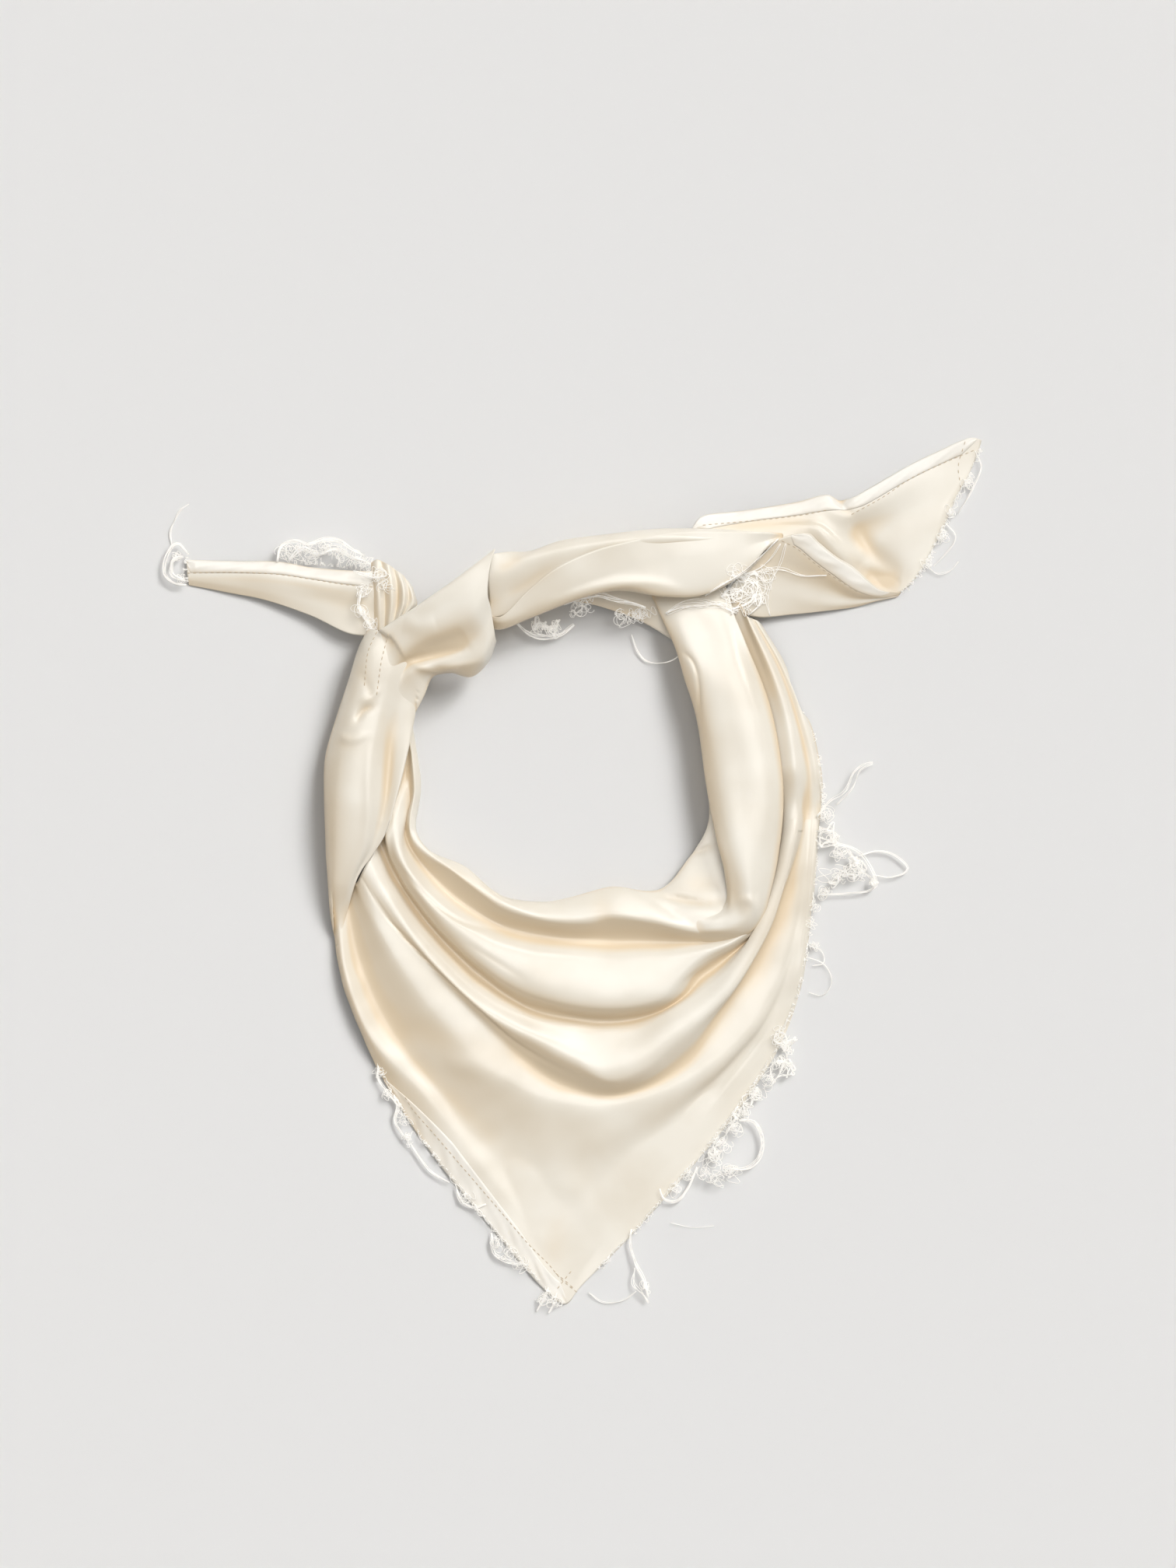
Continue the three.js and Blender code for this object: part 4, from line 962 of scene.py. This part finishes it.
# Even points along a line of [across, up, rise] places
def lineThrough(places, count=pathPoints):
    return stepAlong(placeAll(places), count)


strandShape = {"turns": (2, 7), "bow": (0.3, 1), "bowEnds": 0.35, "bowMiddle": 0.65, "rise": 0.5,
               "shake": 0.00008}


# A bundle of loose threads that follow one line and twist about it, spread in millimetres
def strandPaths(random, line, threads, spread):
    centre = lineThrough(line)
    share = np.linspace(0, 1, pathPoints)
    ahead = np.gradient(centre, axis=0)
    side = np.stack([-ahead[:, 1], ahead[:, 0], ahead[:, 0] * 0], axis=1)
    side /= np.maximum(np.linalg.norm(side, axis=1, keepdims=True), 1e-9)
    paths = np.zeros((threads, pathPoints, 3))
    for k in range(threads):
        turn = random.uniform(0, fullTurn) + share * random.uniform(*strandShape["turns"])
        bow = spread * millimetre * random.uniform(*strandShape["bow"])
        bow = bow * (strandShape["bowEnds"] + np.sin(math.pi * share) * strandShape["bowMiddle"])
        paths[k] = centre + side * (np.cos(turn) * bow)[:, None]
        shake = random.normal(0, strandShape["shake"], pathPoints)
        paths[k, :, 2] += np.sin(turn) * bow * strandShape["rise"] + shake
    return paths


tuftShape = {"turns": (3, 7.5), "reach": (0.25, 0.75), "shift": 0.00032, "lean": 3.14, "rise": 0.00022,
             "rate": 1.7}


# A tangled tuft: small loops of thread round one place, size in millimetres
def tuftPaths(random, place, size, threads):
    centre = placeAll([place])[0]
    paths = np.zeros((threads, pathPoints, 3))
    for k in range(threads):
        turns = random.uniform(0, fullTurn)
        turns = turns + np.linspace(0, random.uniform(*tuftShape["turns"]), pathPoints)
        reach = size * millimetre * random.uniform(*tuftShape["reach"], 2)
        middle = random.normal(0, size * tuftShape["shift"], 2)
        lean = random.uniform(0, tuftShape["lean"])
        loop = np.stack([np.cos(turns) * reach[0], np.sin(turns * random.choice([1, 2])) * reach[1]],
                        axis=1)
        turn = np.array([[math.cos(lean), -math.sin(lean)], [math.sin(lean), math.cos(lean)]])
        paths[k, :, :2] = centre[:2] + middle + loop @ turn
        paths[k, :, 2] = centre[2] + size * tuftShape["rise"] * (1 + np.sin(turns * tuftShape["rate"] + k))
    return paths


netShape = {"evenness": 0.7, "links": 3, "bow": 0.0035, "heights": (0.3, 1), "spread": 0.5}


# An open net between corners: knots joined to their near neighbours by a few threads each
def netPaths(random, corners, knots, threads, rise):
    shape = np.array(corners, float)
    found = []
    while len(found) < knots:
        weights = random.dirichlet(np.full(len(shape), netShape["evenness"]))
        found.append(weights @ shape)
    found = np.array(found)
    paths = []
    for i, knot in enumerate(found):
        away = np.linalg.norm(found - knot, axis=1)
        for j in np.argsort(away)[1:netShape["links"] + 1]:
            bow = random.normal(0, netShape["bow"], 2)
            heights = random.uniform(*netShape["heights"], 3) * rise
            middle = (knot + found[j]) / 2 + bow
            line = [[*knot, heights[0]], [*middle, heights[1]], [*found[j], heights[2]]]
            paths.append(strandPaths(random, line, threads, netShape["spread"]))
    return np.concatenate(paths)


edgeShape = {"steps": 200, "rise": 0.15, "span": (3, 14), "reach": (0.1, 1), "short": 1.5,
             "peak": (0.7, 1.4), "inset": 0.0007, "shake": 0.00015, "lift": 0.0012}


# Short frayed threads along an edge, reaching out on one side of it, reach in millimetres
def edgePaths(random, line, side, threads, reach):
    steps = edgeShape["steps"]
    edge = lineThrough([[x, y, edgeShape["rise"]] for x, y in line], steps)
    ahead = np.gradient(edge[:, :2], axis=0)
    ahead /= np.linalg.norm(ahead, axis=1, keepdims=True)
    outward = np.stack([ahead[:, 1], -ahead[:, 0]], axis=1) * side
    share = np.linspace(0, 1, pathPoints)
    paths = np.zeros((threads, pathPoints, 3))
    for k in range(threads):
        start = random.randint(0, steps)
        span = random.uniform(-1, 1) * random.uniform(*edgeShape["span"])
        out = reach * millimetre * random.uniform(*edgeShape["reach"]) ** edgeShape["short"]
        station = np.clip((start + span * share).astype(int), 0, steps - 1)
        push = np.sin(math.pi * share ** random.uniform(*edgeShape["peak"])) * out - edgeShape["inset"]
        paths[k, :, :2] = edge[station, :2] + outward[station] * push[:, None]
        paths[k, :, :2] += random.normal(0, edgeShape["shake"], (pathPoints, 2))
        lift = random.uniform(0, edgeShape["lift"])
        paths[k, :, 2] = edge[station, 2] + np.sin(math.pi * share) * lift
    return paths


# All threads of one row of the tables below
def frayPaths(fray):
    random = np.random.RandomState(fray["seed"])
    parts = []
    for line, side, threads, reach in fray.get("edges", []):
        parts.append(edgePaths(random, line, side, int(threads * frayShare), reach))
    for line, rise, threads, spread in fray.get("strands", []):
        parts.append(strandPaths(random, [[x, y, rise] for x, y in line], threads, spread))
    for places, rise, size, threads in fray.get("tufts", []):
        for x, y in places:
            parts.append(tuftPaths(random, [x, y, rise], size, int(threads * frayShare) + 1))
    for corners, knots, threads, rise in fray.get("nets", []):
        parts.append(netPaths(random, corners, int(knots * frayShare) + 3, threads, rise))
    return np.concatenate(parts)


# Frayed edges: edges are (line, side, threads, reach), strands (line, rise, threads, spread),
# tufts (places, rise, size, threads) and nets (corners, knots, threads a link, rise)
frays = [
    {"name": "frayTailTip", "node": "tail_tip_fringe", "seed": 3,
     "edges": [
         ([[.002, .968], [-.002, .95], [0, .928]], -1, 30, 3.5),
     ],
     "strands": [
         ([[.002, .968], [-.012, .982], [-.026, .964], [-.028, .942], [-.016, .93],
           [0, .928]], .25, 9, 1.1),
         ([[-.004, .964], [-.016, .96], [-.018, .942], [-.002, .932]], .3, 9, 1.2),
         ([[-.018, .974], [-.021, .995], [-.014, 1.012], [-.008, 1.024], [.003, 1.032]], .05, 3, .5),
     ],
     "tufts": [
         ([[-.012, .964], [-.006, .936]], .1, 2.6, 6),
     ]},
    {"name": "frayKnot", "node": "knot_fringe", "seed": 5,
     "edges": [
         ([[.12, .952], [.16, .956], [.2, .952], [.238, .948]], -1, 60, 3.5),
     ],
     "strands": [
         ([[.117, .957], [.122, .978], [.14, .984], [.158, .979], [.174, .985], [.196, .984], [.212, .974],
           [.23, .965]], .4, 10, 1.3),
         ([[.132, .958], [.148, .974], [.17, .968], [.192, .976], [.212, .964], [.23, .958]], .55, 8, 1.5),
     ],
     "tufts": [
         ([[.126, .968], [.145, .971], [.162, .967], [.18, .971], [.198, .967], [.216, .96],
           [.23, .954]], .25, 4.2, 12),
     ]},
    {"name": "frayRightBand", "node": "band_fringe", "seed": 7,
     "edges": [
         ([[.782, .775], [.804, .735], [.815, .68], [.818, .65], [.812, .59]], -1, 110, 2.5),
     ],
     "strands": [
         ([[.81, .63], [.826, .65], [.845, .662], [.856, .684], [.868, .696], [.882, .7]], .3, 5, .8),
         ([[.835, .645], [.856, .668], [.866, .69], [.882, .698]], .3, 3, .7),
         ([[.865, .58], [.888, .586], [.91, .581], [.928, .562], [.906, .552], [.882, .556]], .15, 4, .6),
         ([[.81, .605], [.84, .595], [.865, .585], [.885, .54], [.85, .532], [.812, .53]], .2, 5, .9),
     ],
     "tufts": [
         ([[.822, .632], [.826, .605], [.84, .585], [.835, .555], [.86, .56], [.82, .535]], .2, 4.6, 12),
     ],
     "nets": [
         ([[.81, .63], [.872, .585], [.888, .54], [.81, .522]], 46, 3, .5),
     ]},
    {"name": "frayNet", "node": "net_fringe", "seed": 9,
     "edges": [
         ([[.81, .59], [.806, .52], [.798, .46], [.785, .4], [.765, .35]], -1, 110, 2),
     ],
     "strands": [
         ([[.8, .465], [.815, .458], [.818, .442], [.804, .438]], .1, 2, .4),
         ([[.796, .45], [.82, .44], [.83, .418], [.818, .4], [.8, .404]], .08, 2, .4),
     ],
     "tufts": [
         ([[.806, .515], [.805, .49], [.806, .462]], .15, 3, 6),
     ]},
    {"name": "frayRightTail", "node": "right_tail_fringe", "seed": 11,
     "edges": [
         ([[1.023, 1.11], [1.007, 1.069], [.985, 1.03], [.968, .992], [.944, .945],
           [.92, .918]], -1, 150, 3),
     ],
     "strands": [
         ([[.95, .955], [.965, .942], [.98, .945], [.992, .958]], .1, 2, .5),
         ([[.975, 1.008], [.988, .99], [.976, .968], [.96, .952]], .1, 3, .6),
         ([[1.014, 1.1], [1.022, 1.08], [1.01, 1.052], [.992, 1.02]], .15, 3, .6),
     ],
     "tufts": [
         ([[1.004, 1.058], [.982, 1.02], [.974, .99], [.954, .958]], .1, 3, 8),
     ]},
    {"name": "frayBibRight", "node": "bib_right_fringe", "seed": 13,
     "edges": [
         ([[.765, .34], [.735, .295], [.7, .245], [.66, .195], [.625, .155], [.58, .102],
           [.53, .05]], -1, 160, 2.5),
     ],
     "strands": [
         ([[.71, .24], [.728, .238], [.74, .218], [.738, .195], [.722, .179], [.695, .178]], .25, 8, 1.2),
         ([[.656, .18], [.644, .152], [.628, .135], [.612, .14], [.608, .152]], .2, 7, .9),
         ([[.572, .1], [.57, .08], [.578, .055], [.588, .035], [.593, .012]], .2, 6, 1.2),
         ([[.576, .05], [.574, .03], [.586, .018], [.594, .005]], .2, 4, .9),
         ([[.517, .018], [.535, .006], [.56, .008], [.578, .02]], .05, 2, .4),
         ([[.622, .108], [.65, .102], [.678, .104]], .05, 1, .2),
     ],
     "tufts": [
         ([[.76, .35], [.772, .335], [.762, .312], [.745, .292], [.732, .272], [.718, .25]], .2, 4, 14),
         ([[.705, .228], [.69, .21], [.676, .19], [.682, .165], [.7, .175], [.665, .172]], .2, 4.5, 14),
         ([[.646, .168], [.628, .15], [.588, .025]], .1, 3, 8),
     ],
     "nets": [
         ([[.756, .358], [.786, .35], [.78, .302], [.745, .278]], 22, 3, .4),
         ([[.745, .295], [.725, .24], [.665, .18], [.65, .16], [.7, .255]], 26, 3, .4),
     ]},
    {"name": "frayBibLeft", "node": "bib_left_fringe", "seed": 17,
     "edges": [
         ([[.244, .318], [.26, .282], [.295, .228], [.335, .175], [.38, .118], [.44, .048],
           [.472, .012]], 1, 150, 2.2),
     ],
     "strands": [
         ([[.248, .315], [.246, .295], [.26, .275], [.272, .26], [.268, .24], [.28, .218]], .2, 7, .9),
         ([[.288, .21], [.3, .192], [.314, .174], [.338, .16]], .15, 6, .8),
         ([[.345, .158], [.354, .135], [.372, .128], [.385, .132]], .15, 6, .9),
         ([[.392, .095], [.396, .068], [.415, .058], [.44, .054]], .15, 7, 1.2),
         ([[.465, .025], [.458, .008], [.45, -.006]], .1, 4, .7),
         ([[.476, .018], [.472, .004], [.465, -.008]], .1, 4, .7),
     ],
     "tufts": [
         ([[.25, .302], [.258, .272], [.274, .242], [.282, .215], [.36, .14], [.4, .08]], .15, 3.4, 10),
         ([[.415, .068], [.43, .058], [.46, .012], [.474, .006]], .1, 3.4, 10),
     ]},
]
for fray in frays:
    piece = threadPiece(fray["name"], frayPaths(fray))
    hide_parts(fray["node"])
    silkPieces[fray["node"]] = piece


# Threads that lie on the cloth follow its top, within a least and a most height above it
def layOnCloth(paths, least, most):
    for place in paths.reshape(-1, 3):
        hits = dropOnto(silkTrees.values(), place[0], place[1])
        top = max([spot.z for spot, normal in hits], default=0.0)
        place[2] = min(max(place[2], top + least), top + most)


# Loose threads round the crossing, which lie on the silk or on the table
looseThreads = [
    {"name": "looseTangle", "seed": 23, "lies": True,
     "strands": [
         ([[.76, .986], [.738, .964], [.717, .945], [.681, .923], [.666, .913]], 2.2, 4, .7),
         ([[.7, .89], [.72, .91], [.745, .92], [.735, .94], [.71, .942]], 1.5, 3, 1.2),
         ([[.695, .93], [.725, .942], [.76, .948], [.79, .938], [.822, .939]], 1.2, 3, 1.8),
         ([[.77, .98], [.764, .958], [.75, .932], [.744, .91], [.75, .888]], 1.2, 2, 1.4),
         ([[.705, .938], [.732, .948], [.752, .964], [.763, .98]], 1.2, 2, 1.2),
         ([[.688, .912], [.71, .935], [.732, .928], [.725, .905], [.7, .895]], 1.3, 6, 2.4),
         ([[.7, .94], [.73, .932], [.738, .91], [.72, .888]], 1.3, 5, 2),
         ([[.616, .89], [.636, .9], [.66, .904], [.686, .903], [.708, .892]], 1.35, 8, 2.4),
     ],
     "tufts": [
         ([[.698, .926], [.71, .91], [.722, .898]], 1.5, 4, 5),
         ([[.71, .938], [.722, .922], [.736, .914], [.696, .914], [.744, .936]], 1.3, 5.5, 12),
     ],
     "nets": [
         ([[.665, .912], [.745, .958], [.745, .905], [.7, .892]], 8, 2, 1.8),
     ]},
    {"name": "looseUnderRoll", "seed": 29, "lies": False,
     "strands": [
         ([[.423, .88], [.44, .865], [.46, .861], [.48, .864], [.498, .877]], .3, 9, 1.5),
         ([[.45, .868], [.448, .885], [.454, .896]], .4, 4, .5),
         ([[.572, .864], [.58, .842], [.592, .83], [.612, .828], [.626, .832], [.634, .838]], .08, 3, .4),
         ([[.485, .902], [.505, .91], [.53, .914], [.55, .908], [.572, .904], [.59, .898]], 1.2, 8, 1.5),
     ],
     "tufts": [
         ([[.45, .872], [.472, .868], [.5, .898], [.512, .904], [.56, .888], [.575, .884],
           [.586, .89]], .5, 4, 14),
     ],
     "nets": [
         ([[.423, .88], [.45, .862], [.485, .864], [.5, .88], [.46, .878]], 20, 3, .5),
     ]},
    {"name": "looseKnot", "seed": 31, "lies": False,
     "strands": [
         ([[.226, .923], [.222, .9], [.234, .88], [.242, .865]], 1.1, 9, 1),
         ([[.215, .945], [.24, .938], [.258, .94], [.25, .95]], 1.3, 6, 1),
     ],
     "tufts": [
         ([[.23, .92], [.226, .895], [.238, .874], [.244, .938], [.256, .928]], 1, 4, 14),
     ]},
]
for fray in looseThreads:
    paths = frayPaths(fray)
    if fray["lies"]:
        layOnCloth(paths, *threadShape["lies"])
    threadPiece(fray["name"], paths)

print("frayed edges laid")

# Camera: straight above, on the middle of the photographed frame, which is 2016 rows of 0.36 mm high
cameraView = {"height": 4.0, "seen": 2016 * 0.00036, "middle": (0.516, 0.672), "sensor": 36.0}
cameraData = bpy.data.cameras.new("overhead")
cameraData.type = "PERSP"
cameraData.sensor_fit = "VERTICAL"
cameraData.sensor_height = cameraView["sensor"]
cameraData.lens = cameraView["sensor"] * cameraView["height"] / cameraView["seen"]
camera = bpy.data.objects.new("overhead", cameraData)
middle = placeAll([[cameraView["middle"][0], cameraView["middle"][1], 0]])[0]
camera.location = (middle[0], middle[1], cameraView["height"])
bpy.context.scene.collection.objects.link(camera)
bpy.context.scene.camera = camera

# Floor: pale smooth table top
floorLook = {"half": 2.5, "colour": (0.72, 0.72, 0.72, 1), "rough": 0.85}
bpy.ops.object.select_all(action="DESELECT")
bpy.ops.mesh.primitive_plane_add(size=floorLook["half"] * 2, location=(0, 0, 0))
floor = bpy.context.active_object
floor.name = "tableTop"
floorFinish, nodes, links, shader = makeMaterial("paleTableTop")
shader.inputs["Base Color"].default_value = floorLook["colour"]
shader.inputs["Roughness"].default_value = floorLook["rough"]
floor.data.materials.append(floorFinish)

# Window light from the upper right, a wide roof light on the cloth, and on the floor a second window
# light in the roof light's place, so that the shadows on it are as deep as the photograph's
lights = [
    {"name": "windowLight", "turn": 52, "height": 37, "spread": 18, "power": 1.24, "on": "all"},
    {"name": "roofLight", "turn": 72, "height": 70, "spread": 34, "power": 1.53, "on": "cloth"},
    {"name": "floorLight", "turn": 42, "height": 43, "spread": 28, "power": 2.02, "on": "floor"},
]
lampColour = (1, 0.99, 0.975)
for light in lights:
    lightData = bpy.data.lights.new(light["name"], "SUN")
    lightData.energy = light["power"]
    lightData.angle = math.radians(light["spread"])
    lightData.color = lampColour
    lamp = bpy.data.objects.new(light["name"], lightData)
    lamp.rotation_euler = (0, math.radians(90 - light["height"]), math.radians(light["turn"]))
    bpy.context.scene.collection.objects.link(lamp)
    if light["on"] != "all":
        lit = bpy.data.collections.new(light["name"] + "Lit")
        lit.objects.link(floor)
        state = "INCLUDE" if light["on"] == "floor" else "EXCLUDE"
        lit.collection_objects[0].light_linking.link_state = state
        lamp.light_linking.receiver_collection = lit

room = {"colour": (1, 0.98, 0.95, 1), "strength": 0.42}
world = bpy.data.worlds.new("softRoom")
world.use_nodes = True
background = world.node_tree.nodes["Background"]
background.inputs["Color"].default_value = room["colour"]
background.inputs["Strength"].default_value = room["strength"]
bpy.context.scene.world = world
bpy.context.scene.view_settings.view_transform = "Standard"

print("camera and lights set")

for layer in clothLayers:
    piece = silkPieces[layer["node"]]
